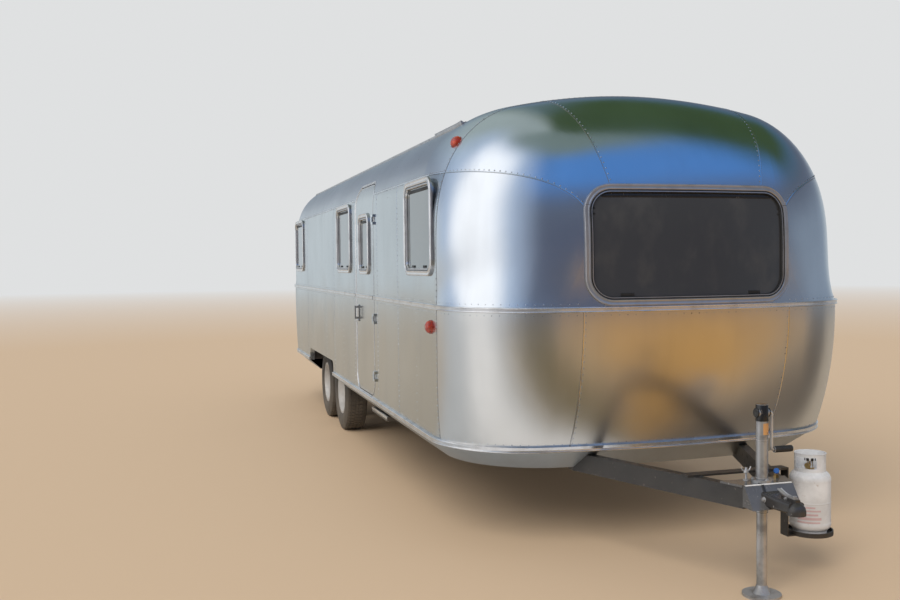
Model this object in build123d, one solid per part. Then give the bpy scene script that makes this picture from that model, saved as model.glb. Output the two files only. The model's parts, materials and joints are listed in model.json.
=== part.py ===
from build123d import *
import os
from math import asin, atan2, cos, degrees, pi, radians, sin, sqrt, tan

# A riveted aluminium travel caravan on two axles, parked on its wheels and nose jack.
# Millimetres. +Z is up, the coupler points to -Y and the entry door is on the -X side.
# Places along the body are measured back from its nose at the belt line, and at() turns
# them into the part's own frame, whose origin lies on the ground below the middle.

# Body shell
HALF_WIDTH = 1219.0
BODY_LENGTH = 7600.0
BELT_Z = 1338.0
ROOF_Z = 2540.0
SKIRT_Z = 560.0
WALL = 45.0
FLOOR_THICKNESS = 40.0
FIT = 0.3
SWING_GAP = 6.0

# End caps: plan arcs at the belt, roof arcs where the caps meet the body
CAP_LENGTH = 969.0
CAP_FULLNESS = 3.0
CAP_ANGLES = (0.0, 22.5, 45.0, 67.5, 90.0)
NOSE_RADIUS = 4000.0
NOSE_CORNER = 600.0
ROOF_RADIUS = 3445.0
ROOF_SHOULDER = 450.0
CAP_SHOULDER = 777.0
CAP_HUB = 150.0
HUB_LAP = 30.0

# Skirt below the belt, which tucks in under each end
SKIRT_TUCK = 220.0
SKIRT_RADIUS = 5000.0
SKIRT_CORNER = 555.0
SKIRT_STEPS = (0.0, 0.5, 1.0)

# Panel seams
CAP_SEAM = 680.0
ROOF_SEAM_Z = 2090.0
CROWN_HALF = 452.0
CROWN_TOP_HALF = 570.0
LOWER_HALF = 612.0
SEAM_BEND_IN = 389.0
SEAM_BEND_Z = 2012.0
SEAM_ROOT_IN = 103.0

# End windows, half width and height over their frames
END_WINDOW_HALF = 603.0
END_WINDOW_LOW = 1350.0
END_WINDOW_HIGH = 1980.0
END_WINDOW_CORNER = 150.0
FRAME_FACE = 42.0
FRAME_LAP = 30.0
FRAME_PROUD = 12.0
PANE = 6.0
PANE_SET_BACK = 4.0

# Side windows: side (-1 is the door side), front edge, rear edge
SIDE_WINDOWS = (
    (-1, 745.0, 1400.0),
    (-1, 3300.0, 3960.0),
    (-1, 6180.0, 6840.0),
    (1, 745.0, 1400.0),
    (1, 2300.0, 3260.0),
    (1, 6180.0, 6840.0),
)
SIDE_WINDOW_LOW = 1505.0
SIDE_WINDOW_HIGH = 2075.0
SIDE_WINDOW_CORNER = 95.0

# Entry door, hinged at its front edge
DOOR_FRONT = 2400.0
DOOR_WIDTH = 680.0
DOOR_LOW = 606.0
DOOR_HIGH = 2165.0
DOOR_CORNER = 120.0
DOOR_WINDOW_WIDTH = 400.0
DOOR_WINDOW_LOW = 1500.0
DOOR_WINDOW_HIGH = 1960.0
DOOR_WINDOW_CORNER = 80.0
DOOR_HINGES = (760.0, 1180.0, 1900.0)

# Service hatch on the other side, hinged at its top
HATCH_FRONT = 2500.0
HATCH_WIDTH = 620.0
HATCH_LOW = 700.0
HATCH_HIGH = 1080.0
HATCH_CORNER = 40.0
HATCH_HINGE_SHARES = (0.2, 0.8)

# Hinges
PIN_RADIUS = 4.0
PIN_PLAY = 0.08
KNUCKLE_RADIUS = 8.0
KNUCKLE_LENGTH = 34.0
KNUCKLE_GAP = 0.5
HINGE_STAND_OFF = 10.0
HINGE_LEAF = 44.0
LEAF_HALF = 37.4
DOOR_LEAF_BITE = 4.0

# Door handle: a plate on the skin and a grip on two posts
HANDLE_FROM_EDGE = 75.0
HANDLE_PLATE_WIDTH = 64.0
HANDLE_PLATE_THICKNESS = 7.0
HANDLE_PLATE_LOW = 1130.0
HANDLE_PLATE_HIGH = 1260.0
HANDLE_GRIP_WIDTH = 18.0
HANDLE_GRIP_THICKNESS = 10.0
HANDLE_GRIP_LOW = 1148.0
HANDLE_GRIP_HIGH = 1250.0
HANDLE_REACH = 34.0
HANDLE_POST = 16.0

# Aluminium trim at the belt and at the foot of the skirt
BELT_TRIM_LOW = 1318.0
BELT_TRIM_HIGH = 1346.0
SKIRT_TRIM_HEIGHT = 32.0
TRIM_PROUD = 11.0
BELT_PLAY = 0.8

# Running gear
AXLE_PLACES = (4620.0, 5480.0)
TYRE_RADIUS = 355.5
TYRE_WIDTH = 205.0
TRACK_HALF = HALF_WIDTH - 219.0
RIM_RADIUS = 190.5
RIM_FLANGE = 12.0
RIM_WELL_DROP = 26.0
HUB_RADIUS = 78.0
DRUM_RADIUS = 128.0
RIM_EDGE = 6.0
RIM_LIP = 11.0
RIM_SHEET = 8.0
RIM_SLOPE = 19.0
RIM_WELL_OUT = 2.0
RIM_WELL_IN = 30.0
DISC_RIM_X = 12.0
DISC_EDGE = (26.0, 132.0)
DISC_DISH = (2.0, 112.0)
DISC_HUB = (10.0, 86.0)
HUB_FACE_X = 24.0
HUB_BOSS = (62.0, 40.0)
HUB_NOSE = 66.0
HUB_STEP = 50.0
DRUM_FRONT = -44.0
DRUM_BACK = -100.0
DRUM_COVER = (-110.0, 45.0)
DISC_SHEET = 8.0
HUB_BACK = -40.0
SPINDLE_SEAT = 22.0
SPINDLE_RADIUS = 20.0
SPINDLE_PLAY = 0.06
AXLE_TUBE = 76.0
AXLE_HALF = TRACK_HALF - 175.0
SPINDLE_OUT = 20.0
ARM_TRAIL = 150.0
ARM_WIDTH = 40.0
ARM_HEIGHT = 70.0
WELL_INNER = TRACK_HALF - 150.0
WELL_CLEAR = 45.0
WELL_HIGH = 820.0
WELL_SHEET = 5.0
ARCH_HIGH = 690.0
ARCH_FRONT = 4290.0
ARCH_REAR = 5810.0
ARCH_CORNER = 60.0

# Chassis
RAIL_HALF = 560.0
RAIL_WIDTH = 50.0
RAIL_DEPTH = 105.0
RAIL_FRONT = 430.0
RAIL_REAR = 7170.0
CROSS_PLACES = (620.0, 1900.0, 3180.0, 4080.0, 6000.0, 7080.0)
CROSS_WIDTH = 60.0
PAN_SHEET = 4.0
PAN_TUCK = 120.0
TUBE_WIDTH = 50.0
TUBE_DEPTH = 100.0
TUBE_TOP = 530.0
APEX_Y = -640.0
APEX_HALF = 98.5
HALF_ANGLE = 22.0

# Coupler for a 58.7 mm ball
BALL_Y = -860.0
SOCKET_RADIUS = 29.8
SOCKET_SHELL = 12.0
SOCKET_DEPTH = 16.0
SOCKET_MOUTH_Z = 446.0
TONGUE_BACK_Y = -645.0
TONGUE_BACK_HALF = 62.0
TONGUE_BACK_LOW = 446.0
TONGUE_BACK_HIGH = 512.0
TONGUE_FRONT_HALF = 40.0
TONGUE_FRONT_LOW = 450.0
TONGUE_FRONT_HIGH = 500.0
TONGUE_CORNER = 14.0
LATCH_HALF = 12.0
LATCH_FRONT = 10.0
LATCH_REAR = 95.0
LATCH_THICKNESS = 16.0
LATCH_BITE = 6.0

# Folded hood over the tubes' front ends, with a sloping face
PLATE_THICKNESS = 10.0
HOOD_HALF = 129.0
HOOD_REAR_HALF = 176.0
HOOD_REAR_Y = -525.0
HOOD_FOLD_Y = -652.0
HOOD_FRONT_Y = -724.0
HOOD_LOW = 440.0
HOOD_SHEET = 8.0
HOOD_BEND = 16.0

# Nose jack
JACK_Y = -600.0
JACK_TUBE_RADIUS = 28.5
JACK_TUBE_WALL = 4.0
JACK_PLAY = 0.08
JACK_LOW = 395.0
JACK_HIGH = 905.0
JACK_CAP = 40.0
JACK_TRAVEL = 280.0
JACK_SPARE = 8.0
LEG_TOP = JACK_HIGH - JACK_CAP - JACK_TRAVEL - JACK_SPARE
FOOT_RADIUS = 90.0
FOOT_THICKNESS = 12.0
FOOT_COLLAR_WIDTH = 16.0
FOOT_COLLAR_HEIGHT = 40.0
JACK_FLANGE_RADIUS = 50.0
JACK_FLANGE_THICKNESS = 12.0
JACK_HEAD_RADIUS = 22.0
JACK_HEAD_LENGTH = 66.0
CRANK_ROD = 7.0
CRANK_BEND = 11.0
CRANK_REACH = 19.0
CRANK_DROP = 178.0
CRANK_GRIP_RADIUS = 14.0
CRANK_GRIP_LENGTH = 98.0
CRANK_GRIP_START = 12.0

# Gas bottle on its carrier beside the drawbar
BOTTLE_X = 450.0
BOTTLE_Y = -350.0
BOTTLE_LOW = 197.0
BOTTLE_RADIUS = 100.0
BOTTLE_BODY = 325.0
BOTTLE_FOOT = 14.0
BOTTLE_BASE_RADIUS = 70.0
BOTTLE_NECK_RADIUS = 60.0
BOTTLE_SHOULDER = 62.0
BOTTLE_NECK_DROP = 6.0
BOTTLE_BASE_BEND = (0.75, 0.27)
BOTTLE_NECK_BEND = (0.76, 0.68)
FOOT_RING_RADIUS = 82.0
RING_SHEET = 4.0
COLLAR_RADIUS = 76.0
COLLAR_HEIGHT = 98.0
COLLAR_SUNK = 18.0
COLLAR_MOUTH = 104.0
COLLAR_BAND = 20.0
COLLAR_TURN = 35.0
VALVE_RADIUS = 15.0
VALVE_HEIGHT = 60.0
VALVE_KNOB_RADIUS = 26.0
VALVE_KNOB_HEIGHT = 14.0
CARRIER_SHEET = 5.0
CARRIER_LIP = 22.0
CARRIER_PLAY = 6.0
CARRIER_REACH = 12.0
CARRIER_HALF = 30.0
CARRIER_DEPTH = 40.0
CARRIER_BAR = 10.0
CARRIER_BAR_END = 262.0

# Roof fittings
COOLER_FRONT = 2660.0
COOLER_LENGTH = 940.0
COOLER_HALF = 345.0
COOLER_HIGH = 2705.0
COOLER_SUNK = 60.0
COOLER_EAVES = 60.0
COOLER_CORNER = 90.0
COOLER_TOP_CORNER = 70.0
COOLER_SIDE_DRAFT = 12.0
COOLER_END_DRAFT = 30.0
COOLER_TOP_HALF = 280.0
COOLER_TOP_LENGTH = 700.0
COOLER_TOP_SHIFT = 30.0
VENTS = (("front", -380.0, 4950.0), ("rear", 0.0, 6350.0))
VENT_SIZE = 400.0
VENT_CURB = 28.0
VENT_THROAT = 300.0
VENT_LID = 36.0
VENT_LID_LAP = 24.0
VENT_LID_CROWN = 40.0
VENT_LID_CORNER = 30.0
VENT_LID_GAP = 6.0
VENT_AXIS_OUT = 26.0
VENT_HINGE_OFFSETS = (-110.0, 110.0)
VENT_LEAF_HALF = 5.0

# Step below the door, which slides out
STEP_WIDTH = 560.0
STEP_DEPTH = 270.0
STEP_THICKNESS = 32.0
STEP_TRAVEL = 260.0
STEP_OUTER = HALF_WIDTH - 99.0
STEP_BELOW_PAN = 10.0
SLIDER_WIDTH = 24.0
SLIDER_THICKNESS = 12.0
SLIDER_INSET = 60.0
RUNNER_INSET = 40.0
RUNNER_END = 20.0
RUNNER_SHEET = 8.0
RUNNER_LIP = 14.0
RUNNER_DROP = 18.0

# Rear bumper
BUMPER_REACH = 40.0
BUMPER_HEIGHT = 105.0
BUMPER_DEPTH = 60.0
BUMPER_DROP = 20.0
BUMPER_CORNER = 50.0
BUMPER_ARM_HALF = 30.0
BUMPER_ARM_HEIGHT = 60.0
BUMPER_ARM_LAP = 200.0
BUMPER_ARM_BITE = 5.0
BUMPER_DECK_HALF = 590.0
BUMPER_DECK_DROP = 12.0
BUMPER_DECK_SHEET = 6.0
BUMPER_DECK_LAP = 300.0
BUMPER_HALF = HALF_WIDTH - 219.0

# Marker lamps: distance from the middle, place, height, outward direction
MARKER_LAMPS = (
    (HALF_WIDTH - 144.0, 732.0, 2255.0, (0.764, -0.182, 0.618)),
    (HALF_WIDTH, 810.0, 1215.0, (1.0, 0.0, 0.0)),
)
LAMP_RADIUS = 34.0
LAMP_DEPTH = 26.0
LAMP_BASE = 8.0
LAMP_BASE_RIM = 6.0
LAMP_SUNK = 14.0
LENS_DOME = ((0.0, 1.0), (0.6, 0.82), (1.0, 0.4))
TAIL_LAMP_RADIUS = 62.0
TAIL_LAMP_X = HALF_WIDTH - 399.0
TAIL_LAMP_HEIGHTS = (850.0, 1010.0)
TAIL_LAMP_FACING = (0.30, 0.94, -0.16)

# Tyre profile: distance out as a share of half the tyre's width, and radius over the rim or the tread
TYRE_BEAD = 0.76
TYRE_PROFILE = (
    (0.84, 22.0, "rim"),
    (1.0, 70.0, "rim"),
    (0.97, -38.0, "tread"),
    (0.8, -7.0, "tread"),
    (0.45, 0.0, "tread"),
)

NOSE_TIP = SOCKET_RADIUS + SOCKET_SHELL - BALL_Y
NOSE_Y = (NOSE_TIP - BODY_LENGTH - BUMPER_REACH) / 2
FLOOR_Z = SKIRT_Z + FLOOR_THICKNESS
RAIL_LOW = SKIRT_Z - RAIL_DEPTH
PAN_LOW = RAIL_LOW - PAN_SHEET
WINDOW_MIDDLE = (END_WINDOW_LOW + END_WINDOW_HIGH) / 2
SEAM_ROOT = END_WINDOW_HALF - SEAM_ROOT_IN
FAR = 3000.0


def at(place):
    """Row position of a place measured back from the nose."""
    return NOSE_Y + place


MIDDLE = Plane(origin=(0, at(BODY_LENGTH / 2), 0), z_dir=(0, 1, 0))
CENTRE = Plane.YZ


def prism_y(face, front, rear):
    """Extrude a face drawn in X and Z from one place along the body to another."""
    start = Plane(origin=(0, at(front), 0), x_dir=(1, 0, 0), z_dir=(0, -1, 0))
    return extrude(start * face, amount=rear - front, dir=(0, 1, 0))


def prism_x(face, low, high):
    """Extrude a face drawn in Y and Z from one x to another."""
    start = Plane(origin=(low, 0, 0), x_dir=(0, 1, 0), z_dir=(1, 0, 0))
    return extrude(start * face, amount=high - low, dir=(1, 0, 0))


def block(x, y, z):
    """Box between the low and high values of x, y (row position) and z."""
    size = (x[1] - x[0], y[1] - y[0], z[1] - z[0])
    return Pos((x[0] + x[1]) / 2, (y[0] + y[1]) / 2, (z[0] + z[1]) / 2) * Box(*size)


def rounded(x, z, corner):
    """Rounded rectangle between two low and high values."""
    return Pos((x[0] + x[1]) / 2, (z[0] + z[1]) / 2) * RectangleRounded(x[1] - x[0], z[1] - z[0], corner)


def bow_arcs(half_width, reach, bow, corner):
    """Corner arc, bow arc and corner arc of a cap section, and where its straight sides end."""
    corner_x = half_width - corner
    turn = asin(corner_x / (bow - corner))
    base = reach - bow + (bow - corner) * cos(turn)
    joint = (bow * sin(turn), reach - bow + bow * cos(turn))
    bend = (pi / 2 - turn) / 2
    middle = (corner_x + corner * cos(bend), base + corner * sin(bend))
    arcs = [
        ThreePointArc((half_width, base), middle, joint),
        ThreePointArc(joint, (0, reach), (-joint[0], joint[1])),
        ThreePointArc((-joint[0], joint[1]), (-middle[0], middle[1]), (-half_width, base)),
    ]
    return arcs, base


def cap_section(angle, inset, hub):
    """Face of a cap cut by a plane tilted about the cap's cross axis at the belt."""
    height = ROOF_Z - BELT_Z
    power = CAP_FULLNESS
    reach = ((cos(angle) / CAP_LENGTH) ** power + (sin(angle) / height) ** power) ** (-1 / power)
    share = angle / (pi / 2)
    bow = NOSE_RADIUS + (ROOF_RADIUS - NOSE_RADIUS) * share
    bulge = CAP_SHOULDER - (NOSE_CORNER + ROOF_SHOULDER) / 2
    corner = NOSE_CORNER + (ROOF_SHOULDER - NOSE_CORNER) * share + 4 * share * (1 - share) * bulge
    half = HALF_WIDTH - inset
    arcs, base = bow_arcs(half, reach - inset, bow - inset, corner - inset)
    sides = Polyline((-half, base), (-half, hub), (half, hub), (half, base)).edges()
    return make_face(Wire(arcs + sides))


def upper_body(inset=0.0):
    """Everything above the belt inside the skin, drawn in by the inset."""
    hub = CAP_HUB - inset
    sections = []
    for tilt in CAP_ANGLES:
        angle = radians(tilt)
        facing = (0, -sin(angle), -cos(angle))
        plane = Plane(origin=(0, at(CAP_LENGTH), BELT_Z), x_dir=(1, 0, 0), z_dir=facing)
        sections.append(plane * cap_section(angle, inset, hub))
    cap = loft(sections)
    half = HALF_WIDTH - inset
    lapped = hub + HUB_LAP
    filler = block((-half, half), (at(CAP_LENGTH) - lapped, at(CAP_LENGTH)), (BELT_Z, BELT_Z + lapped))
    front = cap + filler
    upright = Plane(origin=(0, at(CAP_LENGTH), BELT_Z), x_dir=(1, 0, 0), z_dir=(0, -1, 0))
    length = BODY_LENGTH - 2 * CAP_LENGTH
    tunnel = extrude(upright * cap_section(pi / 2, inset, 0.0), amount=length, dir=(0, 1, 0))
    return tunnel + front + mirror(front, about=MIDDLE)


def plan_face(step, z, inset, tuck=0.0):
    """Plan of the body at one height of the skirt, from 0 at the belt to 1 at its foot."""
    half = HALF_WIDTH - inset - tuck
    reach = CAP_LENGTH - SKIRT_TUCK * step ** 2 - inset - tuck
    bow = NOSE_RADIUS + (SKIRT_RADIUS - NOSE_RADIUS) * step - inset
    corner = NOSE_CORNER + (SKIRT_CORNER - NOSE_CORNER) * step - inset
    arcs, base = bow_arcs(half, reach, bow, corner)
    front = Plane(origin=(0, at(CAP_LENGTH), z), x_dir=(1, 0, 0), z_dir=(0, 0, -1))
    edges = [front * arc for arc in arcs]
    side_front = at(CAP_LENGTH) - base
    side_rear = at(BODY_LENGTH - CAP_LENGTH) + base
    rear = Plane(origin=(0, at(BODY_LENGTH - CAP_LENGTH), z), x_dir=(1, 0, 0), z_dir=(0, 0, 1))
    back = [rear * arc for arc in arcs]
    edges.append(Line((-half, side_front, z), (-half, side_rear, z)))
    edges += [back[2], back[1], back[0]]
    edges.append(Line((half, side_rear, z), (half, side_front, z)))
    return make_face(Wire(edges))


def lower_body(inset=0.0):
    """Everything between the foot of the skirt and the belt, drawn in by the inset."""
    drop = BELT_Z - SKIRT_Z
    return loft([plan_face(step, BELT_Z - drop * step, inset) for step in SKIRT_STEPS])


def belt_ring(low, high):
    """Band round the body at the belt."""
    outer = extrude(plan_face(0.0, low, -TRIM_PROUD), amount=high - low, dir=(0, 0, 1))
    inner = extrude(plan_face(0.0, low, -BELT_PLAY), amount=high - low, dir=(0, 0, 1))
    return outer - inner


def hinge(leaf_fixed, leaf_moving, middle, direction):
    """Fixed knuckles with their pin, and the moving knuckle, each with a leaf to its carrier."""
    plane = Plane(origin=middle, z_dir=direction)
    whole = KNUCKLE_LENGTH
    outer = KNUCKLE_LENGTH / 2 + KNUCKLE_GAP
    end = Pos(0, 0, outer + whole / 4) * Cylinder(KNUCKLE_RADIUS, whole / 2)
    ends = [plane * end, plane * mirror(end, about=Plane.XY)]
    pin = plane * Cylinder(PIN_RADIUS, 2 * outer + whole)
    bore = plane * Cylinder(PIN_RADIUS + PIN_PLAY, 3 * whole)
    knuckle = plane * Cylinder(KNUCKLE_RADIUS, whole)
    gap = plane * Cylinder(2 * FAR, 2 * outer)
    fixed = (leaf_fixed - gap) + ends[0] + ends[1] + pin
    reach = plane * Cylinder(2 * FAR, whole)
    moving = (leaf_moving & reach) + knuckle - bore
    return fixed, moving


os.makedirs("parts", exist_ok=True)


def save(name, *solids):
    """Write one node."""
    shape = solids[0] if len(solids) == 1 else Compound(children=list(solids))
    export_step(shape, f"parts/{name}.step")


# Skins and shells
UPPER = upper_body()
LOWER = lower_body()
UPPER_SHELL = UPPER - upper_body(WALL)
LOWER_SHELL = LOWER - lower_body(WALL)


def side_window_face(front, rear, grow=0.0):
    """Side window outline in Y and Z."""
    y = (at(front) - grow, at(rear) + grow)
    z = (SIDE_WINDOW_LOW - grow, SIDE_WINDOW_HIGH + grow)
    return rounded(y, z, SIDE_WINDOW_CORNER + grow)


def end_window_face(grow=0.0):
    """End window outline in X and Z."""
    x = (-END_WINDOW_HALF - grow, END_WINDOW_HALF + grow)
    z = (END_WINDOW_LOW - grow, END_WINDOW_HIGH + grow)
    return rounded(x, z, END_WINDOW_CORNER + grow)


def door_face(grow=0.0):
    """Entry door outline in Y and Z."""
    y = (at(DOOR_FRONT) - grow, at(DOOR_FRONT + DOOR_WIDTH) + grow)
    return rounded(y, (DOOR_LOW - grow, DOOR_HIGH + grow), DOOR_CORNER + grow)


def hatch_face(grow=0.0):
    """Service hatch outline in Y and Z."""
    y = (at(HATCH_FRONT) - grow, at(HATCH_FRONT + HATCH_WIDTH) + grow)
    return rounded(y, (HATCH_LOW - grow, HATCH_HIGH + grow), HATCH_CORNER + grow)


def wheel_arch():
    """Wheel opening outline in Y and Z, open at the foot of the skirt."""
    return rounded((at(ARCH_FRONT), at(ARCH_REAR)), (SKIRT_Z - ARCH_CORNER * 2, ARCH_HIGH), ARCH_CORNER)


def seam_face(above):
    """Region of a cap's corner on one side of the seam that runs from the window round to the side."""
    reach = FAR / 2
    start = (END_WINDOW_HALF, END_WINDOW_HIGH - END_WINDOW_CORNER * 0.75)
    bend = (HALF_WIDTH - SEAM_BEND_IN, SEAM_BEND_Z)
    seam = ThreePointArc(start, bend, (HALF_WIDTH + WALL, ROOF_SEAM_Z))
    root = (SEAM_ROOT, END_WINDOW_HIGH - END_WINDOW_CORNER - FRAME_FACE)
    if above:
        far = FAR
        inner = CROWN_HALF
        rest = Polyline(seam @ 1, (reach, ROOF_SEAM_Z), (reach, far), (CROWN_TOP_HALF, far),
                        (CROWN_TOP_HALF, ROOF_Z), (inner, END_WINDOW_HIGH), (inner, root[1]), root, start)
    else:
        rest = Polyline(seam @ 1, (reach, ROOF_SEAM_Z), (reach, BELT_Z), (root[0], BELT_Z), root, start)
    return make_face(Wire([seam] + rest.edges()))


def both_sides(shape):
    """A shape and its mirror image across the middle of the body."""
    return [shape, mirror(shape, about=CENTRE)]


def both_ends(solids):
    """The same solids at the rear end."""
    return [mirror(solid, about=MIDDLE) for solid in solids]


# End caps
window_cut = prism_y(end_window_face(-FRAME_LAP), -FAR / 4, CAP_SEAM)
cap_zone = block((-FAR, FAR), (at(-FAR), at(CAP_SEAM)), (0, FAR))
front_upper = (UPPER_SHELL & cap_zone) - window_cut
front_lower = LOWER_SHELL & cap_zone

crown_outline = make_face(Polyline(
    (-CROWN_HALF, WINDOW_MIDDLE), (CROWN_HALF, WINDOW_MIDDLE), (CROWN_HALF, END_WINDOW_HIGH),
    (CROWN_TOP_HALF, ROOF_Z), (CROWN_TOP_HALF, FAR), (-CROWN_TOP_HALF, FAR), (-CROWN_TOP_HALF, ROOF_Z),
    (-CROWN_HALF, END_WINDOW_HIGH), close=True))
crown = front_upper & prism_y(crown_outline, -FAR / 4, CAP_SEAM)
shoulder = front_upper & prism_y(seam_face(True), -FAR / 4, CAP_SEAM)
corner = front_upper & prism_y(seam_face(False), -FAR / 4, CAP_SEAM)
sill_z = (BELT_Z, END_WINDOW_LOW + 2 * FRAME_LAP)
sill = front_upper & block((-SEAM_ROOT, SEAM_ROOT), (at(-FAR), at(CAP_SEAM)), sill_z)
lower_middle = (front_lower & block((-LOWER_HALF, LOWER_HALF), (at(-FAR), at(CAP_SEAM)), (0, BELT_Z))) + sill
lower_corner = front_lower & block((LOWER_HALF, FAR), (at(-FAR), at(CAP_SEAM)), (0, BELT_Z))

CAP_PANELS = {
    "crown_panel": [crown],
    "shoulder_panels": both_sides(shoulder),
    "corner_panels": both_sides(corner),
    "lower_panel": [lower_middle],
    "lower_corner_panels": both_sides(lower_corner),
}
for name, solids in CAP_PANELS.items():
    save(f"front_{name}", *solids)
    save(f"rear_{name}", *both_ends(solids))

# End window frames and panes, which follow the bow of the caps
frame_outside = prism_y(end_window_face(), -FAR / 4, CAP_SEAM / 2)
frame_lining = prism_y(end_window_face(-FRAME_LAP - FIT), -FAR / 4, CAP_SEAM / 2)
frame_hole = prism_y(end_window_face(-FRAME_FACE), -FAR / 4, CAP_SEAM / 2)
pane_shape = prism_y(end_window_face(-FRAME_FACE - FIT), -FAR / 4, CAP_SEAM / 2)
front_half = block((-FAR, FAR), (at(-FAR), at(CAP_SEAM)), (BELT_TRIM_HIGH, FAR))
proud_skin = upper_body(-FRAME_PROUD) & front_half
outer_skin = upper_body(-FIT) & front_half
inner_skin = upper_body(WALL) & front_half
flange = (proud_skin & frame_outside) - outer_skin
lining = (proud_skin & frame_lining) - inner_skin
end_frame = flange + lining - frame_hole
pane_front = upper_body(PANE_SET_BACK) & front_half
pane_back = upper_body(PANE_SET_BACK + PANE) & front_half
end_pane = (pane_front & pane_shape) - pane_back
save("end_window_frames", end_frame, *both_ends([end_frame]))
save("end_window_panes", end_pane, *both_ends([end_pane]))

# Side walls and roof
body_zone = block((-FAR, FAR), (at(CAP_SEAM), at(BODY_LENGTH - CAP_SEAM)), (0, FAR))
wall_zone = block((-FAR, FAR), (at(CAP_SEAM), at(BODY_LENGTH - CAP_SEAM)), (0, ROOF_SEAM_Z))
door_cut = prism_x(door_face(SWING_GAP), -FAR, 0)
upper_walls = UPPER_SHELL & wall_zone
lower_walls = LOWER_SHELL & wall_zone


def side_half(side):
    """Half space on one side of the middle."""
    low, high = (0, FAR) if side > 0 else (-FAR, 0)
    return block((low, high), (at(-FAR), at(BODY_LENGTH + FAR)), (0, FAR))


def side_wall(side):
    """One side wall with its windows, wheel opening and door or hatch cut."""
    wall = (upper_walls & side_half(side)) + (lower_walls & side_half(side))
    low, high = (0, FAR) if side > 0 else (-FAR, 0)
    for window_side, front, rear in SIDE_WINDOWS:
        if window_side == side:
            wall -= prism_x(side_window_face(front, rear, -FRAME_LAP), low, high)
    wall -= prism_x(wheel_arch(), low, high)
    if side < 0:
        wall -= door_cut
    else:
        wall -= prism_x(hatch_face(SWING_GAP), low, high)
    return wall


def vent_throat(x, place):
    """Opening under a roof vent."""
    half = VENT_THROAT / 2
    return block((x - half, x + half), (at(place) - half, at(place) + half), (ROOF_SEAM_Z, FAR))


wall_right = side_wall(-1)
wall_left = side_wall(1)
roof = (UPPER_SHELL & body_zone) - wall_zone - door_cut
for vent_name, vent_x, vent_place in VENTS:
    roof -= vent_throat(vent_x, vent_place)
save("roof_panel", roof)


def side_frame(side, front, rear, low=SIDE_WINDOW_LOW, high=SIDE_WINDOW_HIGH, corner=SIDE_WINDOW_CORNER):
    """Flat frame of a side window: a flange outside the skin and a lining in the opening."""
    y = (at(front), at(rear))
    outline = rounded(y, (low, high), corner)
    lap = FRAME_LAP + FIT
    lining = rounded((y[0] + lap, y[1] - lap), (low + lap, high - lap), corner - lap)
    face = FRAME_FACE
    hole = rounded((y[0] + face, y[1] - face), (low + face, high - face), corner - face)
    skin = HALF_WIDTH + FIT
    proud = HALF_WIDTH + FRAME_PROUD
    ring = prism_x(outline, skin, proud) + prism_x(lining, HALF_WIDTH - WALL, proud)
    ring -= prism_x(hole, 0, FAR)
    return ring if side > 0 else mirror(ring, about=CENTRE)


def side_pane(side, front, rear, low=SIDE_WINDOW_LOW, high=SIDE_WINDOW_HIGH, corner=SIDE_WINDOW_CORNER):
    """Flat pane inside a side window frame."""
    face = FRAME_FACE + FIT
    outline = rounded((at(front) + face, at(rear) - face), (low + face, high - face), corner - face)
    glass = HALF_WIDTH - PANE_SET_BACK
    pane = prism_x(outline, glass - PANE, glass)
    return pane if side > 0 else mirror(pane, about=CENTRE)


save("side_window_frames", *[side_frame(*window) for window in SIDE_WINDOWS])
save("side_window_panes", *[side_pane(*window) for window in SIDE_WINDOWS])

# Entry door, cut from the same shell
door = (UPPER_SHELL & prism_x(door_face(), -FAR, 0)) + (LOWER_SHELL & prism_x(door_face(), -FAR, 0))
door_window = (
    DOOR_FRONT + (DOOR_WIDTH - DOOR_WINDOW_WIDTH) / 2,
    DOOR_FRONT + (DOOR_WIDTH + DOOR_WINDOW_WIDTH) / 2,
    DOOR_WINDOW_LOW, DOOR_WINDOW_HIGH, DOOR_WINDOW_CORNER,
)
window_y = (at(door_window[0]) + FRAME_LAP, at(door_window[1]) - FRAME_LAP)
window_z = (DOOR_WINDOW_LOW + FRAME_LAP, DOOR_WINDOW_HIGH - FRAME_LAP)
door -= prism_x(rounded(window_y, window_z, DOOR_WINDOW_CORNER - FRAME_LAP), -FAR, 0)
door_frame = side_frame(-1, *door_window)
hinge_x = -HALF_WIDTH - HINGE_STAND_OFF
hinge_y = at(DOOR_FRONT) - SWING_GAP / 2
for z in DOOR_HINGES:
    skin_side = (hinge_x - KNUCKLE_RADIUS / 2, -HALF_WIDTH + DOOR_LEAF_BITE)
    height = (z - LEAF_HALF, z + LEAF_HALF)
    wall_leaf = block(skin_side, (hinge_y - HINGE_LEAF, hinge_y), height)
    door_leaf = block(skin_side, (hinge_y, hinge_y + HINGE_LEAF), height)
    fixed, moving = hinge(wall_leaf, door_leaf, (hinge_x, hinge_y, z), (0, 0, 1))
    wall_right += fixed
    door += moving
save("side_wall_right", wall_right)
save("door_panel", door)
save("door_window_frame", door_frame)
save("door_window_pane", side_pane(-1, *door_window))
handle_y = at(DOOR_FRONT + DOOR_WIDTH) - HANDLE_FROM_EDGE
handle_out = -HALF_WIDTH - HANDLE_REACH
plate_out = -HALF_WIDTH - HANDLE_PLATE_THICKNESS
plate_y = (handle_y - HANDLE_PLATE_WIDTH / 2, handle_y + HANDLE_PLATE_WIDTH / 2)
handle = block((plate_out, -HALF_WIDTH - FIT), plate_y, (HANDLE_PLATE_LOW, HANDLE_PLATE_HIGH))
grip_x = (handle_out, handle_out + HANDLE_GRIP_THICKNESS)
grip_y = (handle_y - HANDLE_GRIP_WIDTH / 2, handle_y + HANDLE_GRIP_WIDTH / 2)
handle += block(grip_x, grip_y, (HANDLE_GRIP_LOW, HANDLE_GRIP_HIGH))
post_x = (handle_out + HANDLE_GRIP_THICKNESS / 2, plate_out + FIT)
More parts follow.
